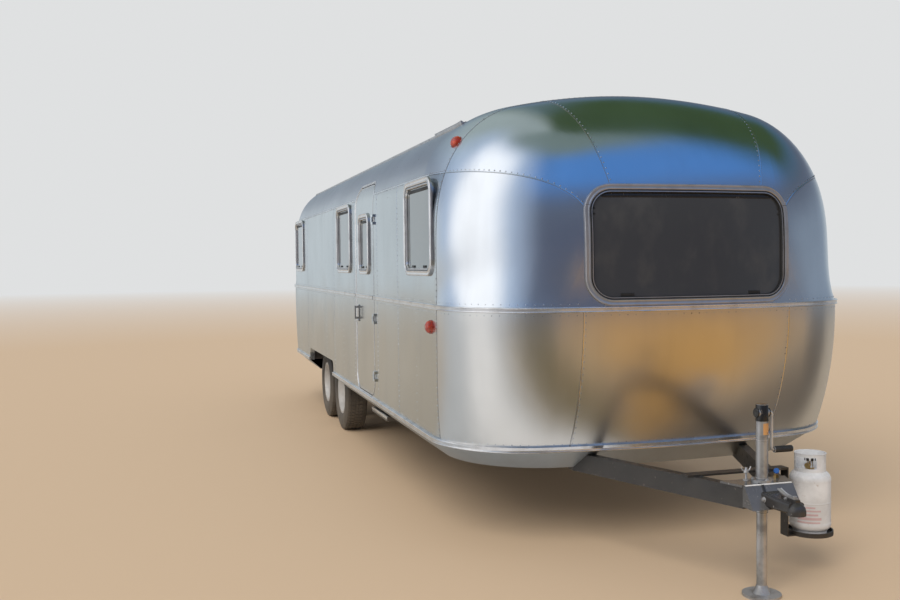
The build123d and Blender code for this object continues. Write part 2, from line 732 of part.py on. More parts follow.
post_y = (handle_y - HANDLE_POST / 2, handle_y + HANDLE_POST / 2)
for low in (HANDLE_GRIP_LOW, HANDLE_GRIP_HIGH - HANDLE_POST):
    handle += block(post_x, post_y, (low, low + HANDLE_POST))
save("door_handle", handle)

# Service hatch on the far side
hatch = LOWER_SHELL & prism_x(hatch_face(), 0, FAR)
hatch_x = HALF_WIDTH + HINGE_STAND_OFF
hatch_z = HATCH_HIGH + SWING_GAP / 2
for share in HATCH_HINGE_SHARES:
    place = HATCH_FRONT + share * HATCH_WIDTH
    across = (HALF_WIDTH - DOOR_LEAF_BITE, hatch_x + KNUCKLE_RADIUS / 2)
    along = (at(place) - LEAF_HALF, at(place) + LEAF_HALF)
    wall_leaf = block(across, along, (hatch_z, hatch_z + HINGE_LEAF))
    hatch_leaf = block(across, along, (hatch_z - HINGE_LEAF, hatch_z))
    fixed, moving = hinge(wall_leaf, hatch_leaf, (hatch_x, at(place), hatch_z), (0, 1, 0))
    wall_left += fixed
    hatch += moving
save("side_wall_left", wall_left)
save("service_hatch", hatch)

# Trim at the belt and at the foot of the skirt
belt = belt_ring(BELT_TRIM_LOW, BELT_TRIM_HIGH)
belt -= prism_x(rounded((at(DOOR_FRONT) - 2 * SWING_GAP, at(DOOR_FRONT + DOOR_WIDTH) + 2 * SWING_GAP),
                        (DOOR_LOW, DOOR_HIGH), DOOR_CORNER), -FAR, 0)
save("belt_trim", belt)
skirt_zone = block((-FAR, FAR), (at(-FAR), at(BODY_LENGTH + FAR)), (SKIRT_Z, SKIRT_Z + SKIRT_TRIM_HEIGHT))
skirt_trim = (lower_body(-TRIM_PROUD) & skirt_zone) - lower_body(-FIT)
skirt_trim -= prism_x(wheel_arch(), -FAR, FAR)
save("skirt_trim", skirt_trim)

# Floor, wheel boxes and belly pan
well_front = AXLE_PLACES[0] - TYRE_RADIUS - WELL_CLEAR
well_rear = AXLE_PLACES[1] + TYRE_RADIUS + WELL_CLEAR
well_y = (at(well_front), at(well_rear))
well_cuts = both_sides(block((WELL_INNER, FAR), well_y, (0, FAR)))
floor_slab = block((-FAR, FAR), (at(-FAR), at(BODY_LENGTH + FAR)), (SKIRT_Z, FLOOR_Z))
floor = (lower_body(WALL + FIT) & floor_slab) - well_cuts[0] - well_cuts[1]
save("floor", floor)

box_outer = HALF_WIDTH - WALL - FIT
sheet = WELL_SHEET
outside = block((WELL_INNER + FIT, box_outer), (well_y[0] + FIT, well_y[1] - FIT), (SKIRT_Z, WELL_HIGH))
inside_y = (well_y[0] + FIT + sheet, well_y[1] - FIT - sheet)
wheel_box = outside - block((WELL_INNER + FIT + sheet, FAR), inside_y, (0, WELL_HIGH - sheet))
save("wheel_boxes", *both_sides(wheel_box))


def pan_body(inset):
    """Tub under the floor, whose sides slope in to the depth of the chassis rails."""
    top = plan_face(1.0, SKIRT_Z, inset)
    low = plan_face(1.0, PAN_LOW + inset, inset, PAN_TUCK)
    return loft([top, low])


pan = pan_body(0.0) - pan_body(PAN_SHEET)
for cut in well_cuts:
    pan -= cut

# Chassis rails and cross members, closed in by the floor and the pan
inner_half = RAIL_HALF - RAIL_WIDTH / 2
rail_z = (RAIL_LOW, SKIRT_Z)
rail = block((inner_half, inner_half + RAIL_WIDTH), (at(RAIL_FRONT), at(RAIL_REAR)), rail_z)
save("chassis_rails", *both_sides(rail))
cross_members = []
for place in CROSS_PLACES:
    cross_y = (at(place) - CROSS_WIDTH / 2, at(place) + CROSS_WIDTH / 2)
    cross_members.append(block((-inner_half, inner_half), cross_y, rail_z))
save("cross_members", *cross_members)

# Drawbar
apex = Pos(APEX_HALF, at(APEX_Y), 0) * Rot(0, 0, -HALF_ANGLE)
tube_half = TUBE_WIDTH / 2
run = (inner_half - APEX_HALF) / sin(radians(HALF_ANGLE))
tube_low = TUBE_TOP - TUBE_DEPTH
bar = apex * block((-tube_half, tube_half), (0, run), (tube_low, TUBE_TOP))
bar = bar & block((0, inner_half), (at(APEX_Y), at(BODY_LENGTH)), (0, FAR))
save("drawbar_tubes", *both_sides(bar))
grown_x = (-tube_half - FIT, tube_half + FIT)
grown = apex * block(grown_x, (0, run + FAR / 10), (tube_low - FIT, TUBE_TOP + FIT))
for cut in both_sides(grown):
    pan -= cut
save("belly_pan", pan)

plate_top = TUBE_TOP + PLATE_THICKNESS
hood_back = at(APEX_Y) - FIT


def hood_wedge(inset, back, low):
    """Body with a flat top and a sloping front over the ends of the tubes, drawn in by the inset."""
    slope = atan2(plate_top - HOOD_LOW, HOOD_FOLD_Y - HOOD_FRONT_Y)
    fold = at(HOOD_FOLD_Y) + inset * tan(slope / 2)
    top = plate_top - inset
    front = fold - (top - low) / tan(slope)
    side = make_face(Polyline((back, low), (back, top), (fold, top), (front, low), close=True))
    return prism_x(side, inset - HOOD_HALF, HOOD_HALF - inset)


plate_outline = make_face(Polyline(
    (-HOOD_HALF, at(HOOD_FOLD_Y)), (HOOD_HALF, at(HOOD_FOLD_Y)),
    (HOOD_REAR_HALF, at(HOOD_REAR_Y)), (-HOOD_REAR_HALF, at(HOOD_REAR_Y)), close=True))
deck = extrude(Pos(0, 0, TUBE_TOP) * plate_outline, amount=PLATE_THICKNESS)
hood_skin = hood_wedge(0.0, hood_back, HOOD_LOW)
hood_skin = fillet(hood_skin.edges().filter_by(Axis.X).sort_by(Axis.Z)[-2:].sort_by(Axis.Y)[0], HOOD_BEND)
hood = hood_skin - hood_wedge(HOOD_SHEET, at(HOOD_REAR_Y), HOOD_LOW - HOOD_BEND)
plate = hood + (deck - block((-FAR, FAR), (at(-FAR), hood_back), (0, FAR)))
plate -= Pos(0, at(JACK_Y), 0) * Cylinder(JACK_TUBE_RADIUS + FIT, 2 * FAR)
save("drawbar_plate", plate)

# Coupler
ball_z = SOCKET_MOUTH_Z + SOCKET_DEPTH


def bell(radius, low):
    """Half ball over the ball's centre with a straight skirt down to the low value."""
    waist = (radius, ball_z)
    crown = (0, ball_z + radius)
    bend = (radius * cos(pi / 4), ball_z + radius * sin(pi / 4))
    sides = [Line((0, low), (radius, low)), Line((radius, low), waist), ThreePointArc(waist, bend, crown)]
    outline = make_face(Wire(sides + [Line(crown, (0, low))]))
    return Pos(0, at(BALL_Y), 0) * revolve(Plane.XZ * outline, axis=Axis.Z)


cup_radius = SOCKET_RADIUS + SOCKET_SHELL
back_plane = Plane(origin=(0, at(TONGUE_BACK_Y), 0), x_dir=(1, 0, 0), z_dir=(0, -1, 0))
front_plane = Plane(origin=(0, at(BALL_Y), 0), x_dir=(1, 0, 0), z_dir=(0, -1, 0))
back_z = (TONGUE_BACK_LOW, TONGUE_BACK_HIGH)
front_z = (TONGUE_FRONT_LOW, TONGUE_FRONT_HIGH)
back_face = back_plane * rounded((-TONGUE_BACK_HALF, TONGUE_BACK_HALF), back_z, TONGUE_CORNER)
front_face = front_plane * rounded((-TONGUE_FRONT_HALF, TONGUE_FRONT_HALF), front_z, TONGUE_CORNER)
tongue = loft([back_face, front_face])
tongue -= hood_wedge(-FIT, at(HOOD_REAR_Y), HOOD_LOW)
coupler = tongue + bell(cup_radius, SOCKET_MOUTH_Z) - bell(SOCKET_RADIUS, SOCKET_MOUTH_Z - SOCKET_DEPTH)
latch_low = ball_z + cup_radius - LATCH_BITE
latch_y = (at(BALL_Y) - LATCH_FRONT, at(BALL_Y) + LATCH_REAR)
coupler += block((-LATCH_HALF, LATCH_HALF), latch_y, (latch_low, latch_low + LATCH_THICKNESS))
save("coupler", coupler)

# Nose jack
stem = Pos(0, at(JACK_Y), 0)
bore_top = JACK_HIGH - JACK_CAP
bore_radius = JACK_TUBE_RADIUS - JACK_TUBE_WALL
bore = stem * Pos(0, 0, (JACK_LOW + bore_top) / 2) * Cylinder(bore_radius, bore_top - JACK_LOW)
tube = stem * Pos(0, 0, (JACK_LOW + JACK_HIGH) / 2) * Cylinder(JACK_TUBE_RADIUS, JACK_HIGH - JACK_LOW)
flange_low = TUBE_TOP + PLATE_THICKNESS
tube += stem * Pos(0, 0, flange_low + JACK_FLANGE_THICKNESS / 2) * Cylinder(
    JACK_FLANGE_RADIUS, JACK_FLANGE_THICKNESS)
head = stem * Pos(0, 0, bore_top) * Rot(0, 90, 0) * Cylinder(JACK_HEAD_RADIUS, JACK_HEAD_LENGTH)
save("jack_tube", tube + head - bore)

leg_radius = bore_radius - JACK_PLAY
leg = stem * Pos(0, 0, (FOOT_THICKNESS + LEG_TOP) / 2) * Cylinder(leg_radius, LEG_TOP - FOOT_THICKNESS)
foot = stem * Pos(0, 0, FOOT_THICKNESS / 2) * Cylinder(FOOT_RADIUS, FOOT_THICKNESS)
collar_middle = FOOT_THICKNESS + FOOT_COLLAR_HEIGHT / 2
collar = stem * Pos(0, 0, collar_middle) * Cone(
    leg_radius + FOOT_COLLAR_WIDTH, leg_radius, FOOT_COLLAR_HEIGHT)
save("jack_leg", leg + foot + collar)

crank_x = JACK_HEAD_LENGTH / 2 + FIT
bend_x = crank_x + CRANK_REACH
grip_z = bore_top - CRANK_DROP
rod_y = at(JACK_Y)
rod_path = FilletPolyline(
    (crank_x, rod_y, bore_top), (bend_x, rod_y, bore_top), (bend_x, rod_y, grip_z),
    (bend_x + CRANK_GRIP_LENGTH, rod_y, grip_z), radius=CRANK_BEND)
crank = sweep(Plane(origin=(crank_x, rod_y, bore_top), z_dir=(1, 0, 0)) * Circle(CRANK_ROD), path=rod_path)
grip_x = bend_x + CRANK_GRIP_START + CRANK_GRIP_LENGTH / 2
crank += Pos(grip_x, rod_y, grip_z) * Rot(0, 90, 0) * Cylinder(CRANK_GRIP_RADIUS, CRANK_GRIP_LENGTH)
save("jack_crank", crank)

# Gas bottle and its carrier
bottle_base = BOTTLE_LOW + BOTTLE_FOOT
bottle_top = BOTTLE_LOW + BOTTLE_BODY
neck_z = bottle_top - BOTTLE_NECK_DROP
side_low = BOTTLE_LOW + BOTTLE_SHOULDER
side_high = bottle_top - BOTTLE_SHOULDER
base_edge = (BOTTLE_BASE_RADIUS, bottle_base)
neck_edge = (BOTTLE_NECK_RADIUS, neck_z)
base_bend = (BOTTLE_BASE_RADIUS + BOTTLE_BASE_BEND[0] * (BOTTLE_RADIUS - BOTTLE_BASE_RADIUS),
             bottle_base + BOTTLE_BASE_BEND[1] * (side_low - bottle_base))
neck_bend = (BOTTLE_NECK_RADIUS + BOTTLE_NECK_BEND[0] * (BOTTLE_RADIUS - BOTTLE_NECK_RADIUS),
             side_high + BOTTLE_NECK_BEND[1] * (neck_z - side_high))
outline = Wire([
    Line((0, bottle_base), base_edge),
    ThreePointArc(base_edge, base_bend, (BOTTLE_RADIUS, side_low)),
    Line((BOTTLE_RADIUS, side_low), (BOTTLE_RADIUS, side_high)),
    ThreePointArc((BOTTLE_RADIUS, side_high), neck_bend, neck_edge),
    Line(neck_edge, (0, bottle_top)),
    Line((0, bottle_top), (0, bottle_base)),
])


def ring(radius, height):
    """Thin round band."""
    return Cylinder(radius, height) - Cylinder(radius - RING_SHEET, height)


stand = Pos(BOTTLE_X, at(BOTTLE_Y), 0)
bottle = stand * revolve(Plane.XZ * make_face(outline), axis=Axis.Z)
bottle += stand * Pos(0, 0, bottle_base) * ring(FOOT_RING_RADIUS, 2 * BOTTLE_FOOT)
collar_z = bottle_top - COLLAR_SUNK + COLLAR_HEIGHT / 2
collar_ring = stand * Pos(0, 0, collar_z) * ring(COLLAR_RADIUS, COLLAR_HEIGHT)
mouth_height = COLLAR_HEIGHT - 2 * COLLAR_BAND
mouth = Pos(-COLLAR_RADIUS, 0, collar_z + RING_SHEET) * Box(COLLAR_RADIUS, COLLAR_MOUTH, mouth_height)
collar_ring -= stand * Rot(0, 0, COLLAR_TURN) * mouth
valve = stand * Pos(0, 0, neck_z + VALVE_HEIGHT / 2) * Cylinder(VALVE_RADIUS, VALVE_HEIGHT)
knob_z = neck_z + VALVE_HEIGHT - VALVE_KNOB_HEIGHT / 2
valve += stand * Pos(0, 0, knob_z) * Cylinder(VALVE_KNOB_RADIUS, VALVE_KNOB_HEIGHT)
save("gas_bottle", bottle + collar_ring + valve)

carrier_radius = BOTTLE_RADIUS + CARRIER_REACH
dish_low = BOTTLE_LOW - FIT - CARRIER_SHEET
carrier = stand * Pos(0, 0, dish_low + CARRIER_SHEET / 2) * Cylinder(carrier_radius, CARRIER_SHEET)
carrier += stand * Pos(0, 0, dish_low + CARRIER_LIP / 2) * (
    Cylinder(carrier_radius, CARRIER_LIP) - Cylinder(BOTTLE_RADIUS + CARRIER_PLAY, CARRIER_LIP))
hanger_x = (BOTTLE_X - carrier_radius - CARRIER_DEPTH, BOTTLE_X - carrier_radius + CARRIER_PLAY)
carrier_y = (at(BOTTLE_Y) - CARRIER_HALF, at(BOTTLE_Y) + CARRIER_HALF)
carrier_top = TUBE_TOP + FIT + CARRIER_BAR
hanger = block(hanger_x, carrier_y, (dish_low, carrier_top))
hanger -= block((hanger_x[0] + CARRIER_SHEET, FAR), carrier_y, (dish_low + CARRIER_SHEET, FAR))
arm = block((-CARRIER_BAR_END, hanger_x[0] + CARRIER_SHEET), carrier_y, (TUBE_TOP + FIT, carrier_top))
save("bottle_carrier", carrier + hanger + arm)

# Axles: cross tube, trailing arms and spindles
axle_z = PAN_LOW - AXLE_TUBE / 2


def axle(place):
    """One rubber-sprung axle with its trailing arms and spindles."""
    tube_y = at(place) - ARM_TRAIL
    half = AXLE_HALF
    tube = Pos(0, tube_y, axle_z) * Box(2 * half, AXLE_TUBE, AXLE_TUBE)
    arms = []
    drop = atan2(axle_z - TYRE_RADIUS, ARM_TRAIL)
    for side in (-1, 1):
        x = side * (half + ARM_WIDTH / 2)
        length = ARM_TRAIL / cos(drop)
        middle = Pos(x, (tube_y + at(place)) / 2, (axle_z + TYRE_RADIUS) / 2)
        beam = middle * Rot(-degrees(drop), 0, 0) * Box(ARM_WIDTH, length, ARM_HEIGHT)
        ends = [Pos(x, y, z) * Rot(0, 90, 0) * Cylinder(ARM_HEIGHT / 2, ARM_WIDTH)
                for y, z in ((tube_y, axle_z), (at(place), TYRE_RADIUS))]
        spindle_low = half + ARM_WIDTH / 2
        spindle_high = TRACK_HALF + SPINDLE_OUT
        hub = Pos(side * (spindle_low + spindle_high) / 2, at(place), TYRE_RADIUS) * Rot(0, 90, 0)
        spindle = hub * Cylinder(SPINDLE_RADIUS, spindle_high - spindle_low)
        arms += [beam, ends[0], ends[1], spindle]
    for part in arms:
        tube += part
    return tube


save("axles", *[axle(place) for place in AXLE_PLACES])


def revolved(points):
    """Solid of revolution about the wheel axis from (x, radius) corners."""
    outline = make_face(Polyline(*points, close=True))
    return revolve(outline, axis=Axis.X)


half_tyre = TYRE_WIDTH / 2
bead = half_tyre * TYRE_BEAD
from_radius = {"rim": RIM_RADIUS, "tread": TYRE_RADIUS}
outer_half = [(half_tyre * share, from_radius[start] + rise) for share, rise, start in TYRE_PROFILE]
inner_half_tyre = [(-x, radius) for x, radius in reversed(outer_half)]
tyre_shape = revolved([(-bead, RIM_RADIUS), (bead, RIM_RADIUS)] + outer_half + inner_half_tyre)

well = RIM_RADIUS - RIM_WELL_DROP
flange_radius = RIM_RADIUS + RIM_FLANGE
edge = bead + RIM_EDGE
lip = bead + RIM_LIP
rim_barrel_inner = [
    (-bead, RIM_RADIUS), (-edge, RIM_RADIUS), (-edge, flange_radius), (-lip, flange_radius),
    (-lip, RIM_RADIUS - RIM_SHEET), (-RIM_WELL_IN, well), (RIM_WELL_OUT, well),
]
spindle_bore = SPINDLE_RADIUS + SPINDLE_PLAY
brake_drum = [
    (DISC_EDGE[0] - DISC_SHEET, DISC_EDGE[1]), (DISC_DISH[0] - DISC_SHEET, DISC_DISH[1]),
    (DISC_DISH[0] - DISC_SHEET, HUB_RADIUS), (HUB_BACK, HUB_RADIUS), (DRUM_FRONT, DRUM_RADIUS),
    (DRUM_BACK, DRUM_RADIUS), DRUM_COVER, (DRUM_COVER[0], spindle_bore), (SPINDLE_SEAT, spindle_bore),
    (SPINDLE_SEAT, 0),
]
wheel_face = [
    (HUB_NOSE, 0), HUB_BOSS, (HUB_FACE_X, HUB_STEP), (HUB_FACE_X, HUB_RADIUS), DISC_HUB, DISC_DISH,
    DISC_EDGE, (DISC_RIM_X, well),
]
rim_barrel_outer = [
    (bead - RIM_SLOPE, RIM_RADIUS - RIM_SLOPE), (lip, RIM_RADIUS - RIM_SHEET), (lip, flange_radius),
    (edge, flange_radius), (edge, RIM_RADIUS), (bead, RIM_RADIUS),
]
rim_shape = revolved(rim_barrel_inner + brake_drum + wheel_face + rim_barrel_outer)
for row, place in zip(("front", "rear"), AXLE_PLACES):
    for side_name, side in (("right", -1), ("left", 1)):
        turned = Rot(0, 0, 0) if side > 0 else Rot(0, 0, 180)
        where = Pos(side * TRACK_HALF, at(place), TYRE_RADIUS) * turned
        save(f"tyre_{row}_{side_name}", where * tyre_shape)
        save(f"rim_{row}_{side_name}", where * rim_shape)

# Roof cooler, tapered towards its top, seated on the roof
cooler_y = (at(COOLER_FRONT), at(COOLER_FRONT + COOLER_LENGTH))
skin_over = upper_body(-FIT)
middle_y = sum(cooler_y) / 2
mid_half = COOLER_HALF - COOLER_SIDE_DRAFT
mid_length = COOLER_LENGTH - 2 * COOLER_END_DRAFT
low_plan = Pos(0, middle_y, ROOF_Z - COOLER_SUNK) * RectangleRounded(
    2 * COOLER_HALF, COOLER_LENGTH, COOLER_CORNER)
mid_plan = Pos(0, middle_y, COOLER_HIGH - COOLER_EAVES) * RectangleRounded(
    2 * mid_half, mid_length, COOLER_CORNER)
top_plan = Pos(0, middle_y + COOLER_TOP_SHIFT, COOLER_HIGH) * RectangleRounded(
    2 * COOLER_TOP_HALF, COOLER_TOP_LENGTH, COOLER_TOP_CORNER)
cooler = loft([low_plan, mid_plan, top_plan], ruled=True) - skin_over
save("roof_cooler", cooler)

# Roof vents: curb on the roof, lid hinged at its front edge
vent_bases = []
for vent_name, x, place in VENTS:
    half = VENT_SIZE / 2
    curb_top = ROOF_Z - x ** 2 / (2 * ROOF_RADIUS) + VENT_CURB
    curb = block((x - half, x + half), (at(place) - half, at(place) + half), (ROOF_SEAM_Z, curb_top))
    curb = curb - skin_over - vent_throat(x, place)
    lid_low = curb_top + VENT_LID_GAP
    wide = VENT_SIZE + VENT_LID_LAP
    narrow = VENT_SIZE - VENT_LID_CROWN
    lid_base = Pos(x, at(place), lid_low) * RectangleRounded(wide, wide, VENT_LID_CORNER)
    lid_crown = Pos(x, at(place), lid_low + VENT_LID) * RectangleRounded(narrow, narrow, VENT_LID_CROWN)
    lid = loft([lid_base, lid_crown])
    front_y = at(place) - half
    axis_y = front_y - VENT_AXIS_OUT
    axis_z = lid_low + 2
    leaf = VENT_LEAF_HALF
    curb_low = curb_top - VENT_CURB + PIN_RADIUS
    for offset in VENT_HINGE_OFFSETS:
        along = (x + offset - LEAF_HALF, x + offset + LEAF_HALF)
        curb_leaf = block(along, (axis_y - leaf, axis_y + leaf), (curb_low, axis_z))
        curb_leaf += block(along, (axis_y - leaf, front_y + PIN_RADIUS), (curb_low, curb_top - 2 * leaf))
        lid_leaf = block(along, (axis_y, front_y + 4 * leaf), (axis_z - leaf, axis_z + leaf))
        fixed, moving = hinge(curb_leaf, lid_leaf, (x + offset, axis_y, axis_z), (1, 0, 0))
        curb += fixed
        lid += moving
    vent_bases.append(curb - skin_over)
    save(f"vent_lid_{vent_name}", lid)
save("vent_curbs", *vent_bases)

# Entry step on its runners under the pan
step_front = DOOR_FRONT + (DOOR_WIDTH - STEP_WIDTH) / 2
step_y = (at(step_front), at(step_front + STEP_WIDTH))
step_top = PAN_LOW - STEP_BELOW_PAN
step = block((-STEP_OUTER, -STEP_OUTER + STEP_DEPTH), step_y, (step_top - STEP_THICKNESS, step_top))
runner_x = (-STEP_OUTER + RUNNER_INSET, -STEP_OUTER + RUNNER_INSET + STEP_DEPTH + STEP_TRAVEL)
slider_x = (-STEP_OUTER + SLIDER_INSET, runner_x[1] - RUNNER_END)
slider_z = (step_top - SLIDER_THICKNESS, step_top)
step += block(slider_x, (step_y[0], step_y[0] + SLIDER_WIDTH), slider_z)
step += block(slider_x, (step_y[1] - SLIDER_WIDTH, step_y[1]), slider_z)
runners = []
for edge, outward in ((step_y[0], -1), (step_y[1], 1)):
    web = sorted((edge + outward * FIT, edge + outward * RUNNER_SHEET))
    shelf = sorted((edge - outward * RUNNER_LIP, edge + outward * RUNNER_SHEET))
    runner = block(runner_x, web, (step_top - RUNNER_DROP, PAN_LOW))
    runner += block(runner_x, shelf, (step_top + FIT, PAN_LOW))
    shelf_z = (step_top - RUNNER_DROP, step_top - SLIDER_THICKNESS - FIT)
    runner += block((runner_x[0] + STEP_DEPTH, runner_x[1]), shelf, shelf_z)
    runners.append(runner)
save("entry_step", step)
save("step_runners", *runners)

# Rear bumper on arms from the chassis
bumper_y = (at(BODY_LENGTH + BUMPER_REACH - BUMPER_DEPTH), at(BODY_LENGTH + BUMPER_REACH))
bumper_z = (PAN_LOW - BUMPER_DROP, PAN_LOW - BUMPER_DROP + BUMPER_HEIGHT)
bumper = block((-BUMPER_HALF, BUMPER_HALF), bumper_y, bumper_z)
bumper = fillet(bumper.edges().filter_by(Axis.Z).group_by(Axis.Y)[-1], BUMPER_CORNER)
bumper_arm = block((RAIL_HALF - BUMPER_ARM_HALF, RAIL_HALF + BUMPER_ARM_HALF),
                   (at(RAIL_REAR) - BUMPER_ARM_LAP, bumper_y[0] + BUMPER_ARM_BITE),
                   (PAN_LOW - BUMPER_ARM_HEIGHT, PAN_LOW - FIT))
for arm in both_sides(bumper_arm):
    bumper += arm
deck_high = bumper_z[1] - BUMPER_DECK_DROP
bumper_deck = block((-BUMPER_DECK_HALF, BUMPER_DECK_HALF),
                    (at(BODY_LENGTH) - BUMPER_DECK_LAP, bumper_y[0] + BUMPER_ARM_BITE),
                    (deck_high - BUMPER_DECK_SHEET, deck_high))
bumper += bumper_deck - pan_body(-FIT)
save("rear_bumper", bumper)

# Lamps
def skirt_place(x, z):
    """How far behind the nose the skirt's skin lies at one x and height."""
    step = (BELT_Z - z) / (BELT_Z - SKIRT_Z)
    bow = NOSE_RADIUS + (SKIRT_RADIUS - NOSE_RADIUS) * step
    corner_radius = NOSE_CORNER + (SKIRT_CORNER - NOSE_CORNER) * step
    corner_x = HALF_WIDTH - corner_radius
    turn = asin(corner_x / (bow - corner_radius))
    front_place = SKIRT_TUCK * step ** 2
    if x <= bow * sin(turn):
        return front_place + bow - sqrt(bow ** 2 - x ** 2)
    centre_place = front_place + bow - (bow - corner_radius) * cos(turn)
    return centre_place - sqrt(corner_radius ** 2 - (x - corner_x) ** 2)


def lamp(place, direction, radius, depth):
    """Round lamp: a base sunk to the skin and a domed lens."""
    plane = Plane(origin=place, z_dir=direction)
    whole = LAMP_BASE + LAMP_SUNK
    base = plane * Pos(0, 0, LAMP_BASE - whole / 2) * Cylinder(radius + LAMP_BASE_RIM, whole)
    dome = [Pos(0, 0, rise * depth) * Circle(share * radius) for rise, share in LENS_DOME]
    lens = plane * Pos(0, 0, LAMP_BASE) * loft(dome)
    return base + lens


lamps = []
for x, place, z, (nx, ny, nz) in MARKER_LAMPS:
    one = lamp((x, at(place), z), (nx, ny, nz), LAMP_RADIUS, LAMP_DEPTH)
    lamps += both_sides(one)
lamps = [one - skin_over - lower_body(-FIT) for one in lamps]
save("marker_lamps", *lamps)
tail_lamps = []
for z in TAIL_LAMP_HEIGHTS:
    y = at(BODY_LENGTH - skirt_place(TAIL_LAMP_X, z))
    tail_lamps += both_sides(lamp((TAIL_LAMP_X, y, z), TAIL_LAMP_FACING, TAIL_LAMP_RADIUS, LAMP_DEPTH))
tail_lamps = [one - lower_body(-FIT) for one in tail_lamps]
save("tail_lamps", *tail_lamps)
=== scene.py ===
"""Looks of a riveted aluminium travel caravan: finishes for its frame and the fine pieces around it."""

import json
import logging
import math
from collections.abc import Iterable, Sequence
from dataclasses import dataclass, field
from enum import Enum

import bmesh
import bpy
import numpy as np
from mathutils import Matrix, Vector
from mathutils.bvhtree import BVHTree

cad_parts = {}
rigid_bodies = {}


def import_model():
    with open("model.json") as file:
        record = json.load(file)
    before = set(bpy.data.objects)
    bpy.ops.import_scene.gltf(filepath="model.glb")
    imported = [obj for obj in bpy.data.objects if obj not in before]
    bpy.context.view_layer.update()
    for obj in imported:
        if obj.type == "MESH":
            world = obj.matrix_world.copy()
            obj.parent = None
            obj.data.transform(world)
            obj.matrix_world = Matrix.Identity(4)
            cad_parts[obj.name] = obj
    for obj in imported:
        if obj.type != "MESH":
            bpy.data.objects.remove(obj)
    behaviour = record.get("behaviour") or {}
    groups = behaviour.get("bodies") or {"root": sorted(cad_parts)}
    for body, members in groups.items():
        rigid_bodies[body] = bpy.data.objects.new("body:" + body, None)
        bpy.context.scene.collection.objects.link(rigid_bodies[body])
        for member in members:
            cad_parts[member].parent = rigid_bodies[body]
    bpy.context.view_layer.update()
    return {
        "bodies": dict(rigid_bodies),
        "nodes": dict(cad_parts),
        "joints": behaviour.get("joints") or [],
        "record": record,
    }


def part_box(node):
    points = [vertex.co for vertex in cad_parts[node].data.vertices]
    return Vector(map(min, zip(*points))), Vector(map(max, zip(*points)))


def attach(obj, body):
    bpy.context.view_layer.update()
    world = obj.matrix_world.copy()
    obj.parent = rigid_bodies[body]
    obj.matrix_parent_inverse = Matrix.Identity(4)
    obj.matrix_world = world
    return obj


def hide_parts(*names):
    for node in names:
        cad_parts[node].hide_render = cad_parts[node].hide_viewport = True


LOG = logging.getLogger("caravan")
MM = 0.001
Point = tuple[float, float, float]
Colour = tuple[float, float, float]
Pair = tuple[float, float]
Section = tuple[Pair, ...]
Spot = tuple[Vector, Vector]
Shape = tuple[list, list]
Socket = bpy.types.NodeSocket


class Body(Enum):
    """Moving bodies that pieces ride on."""

    CARAVAN = "caravan"
    ENTRY_DOOR = "entry_door"
    SERVICE_HATCH = "service_hatch"
    VENT_LID_FRONT = "vent_lid_front"
    VENT_LID_REAR = "vent_lid_rear"
    ENTRY_STEP = "entry_step"


class Slot(Enum):
    """Names of finish slots, given with each piece."""

    SKIN = "skin"
    TRIM = "trim"
    WINDOW_FRAME = "window_frame"
    CHASSIS_BLACK = "chassis_black"
    COUPLER_STEEL = "coupler_steel"
    JACK_PAINT = "jack_paint"
    JACK_STEEL = "jack_steel"
    JACK_CRANK = "jack_crank"
    BOTTLE_PAINT = "bottle_paint"
    ROOF_PLASTIC = "roof_plastic"
    BUMPER = "bumper"
    AMBER_LENS = "amber_lens"
    RED_LENS = "red_lens"
    HANDLE = "handle"
    STEP_BLACK = "step_black"
    TYRE = "tyre"
    RIM_PAINT = "rim_paint"


class Facing(Enum):
    """Ways in which small pieces are pressed onto the body."""

    FROM_FRONT = (0.0, 1.0, 0.0)
    FROM_REAR = (0.0, -1.0, 0.0)
    FROM_RIGHT = (1.0, 0.0, 0.0)
    FROM_LEFT = (-1.0, 0.0, 0.0)
    FROM_ABOVE = (0.0, 0.0, -1.0)
    FROM_BELOW = (0.0, 0.0, 1.0)

    @classmethod
    def onto_side(cls, side: int) -> "Facing":
        """Way onto the right wall for -1, onto the left wall for 1."""
        return cls.FROM_RIGHT if side < 0 else cls.FROM_LEFT

    @classmethod
    def onto_end(cls, end: int) -> "Facing":
        """Way onto the front for 1, onto the rear for -1."""
        return cls.FROM_FRONT if end > 0 else cls.FROM_REAR


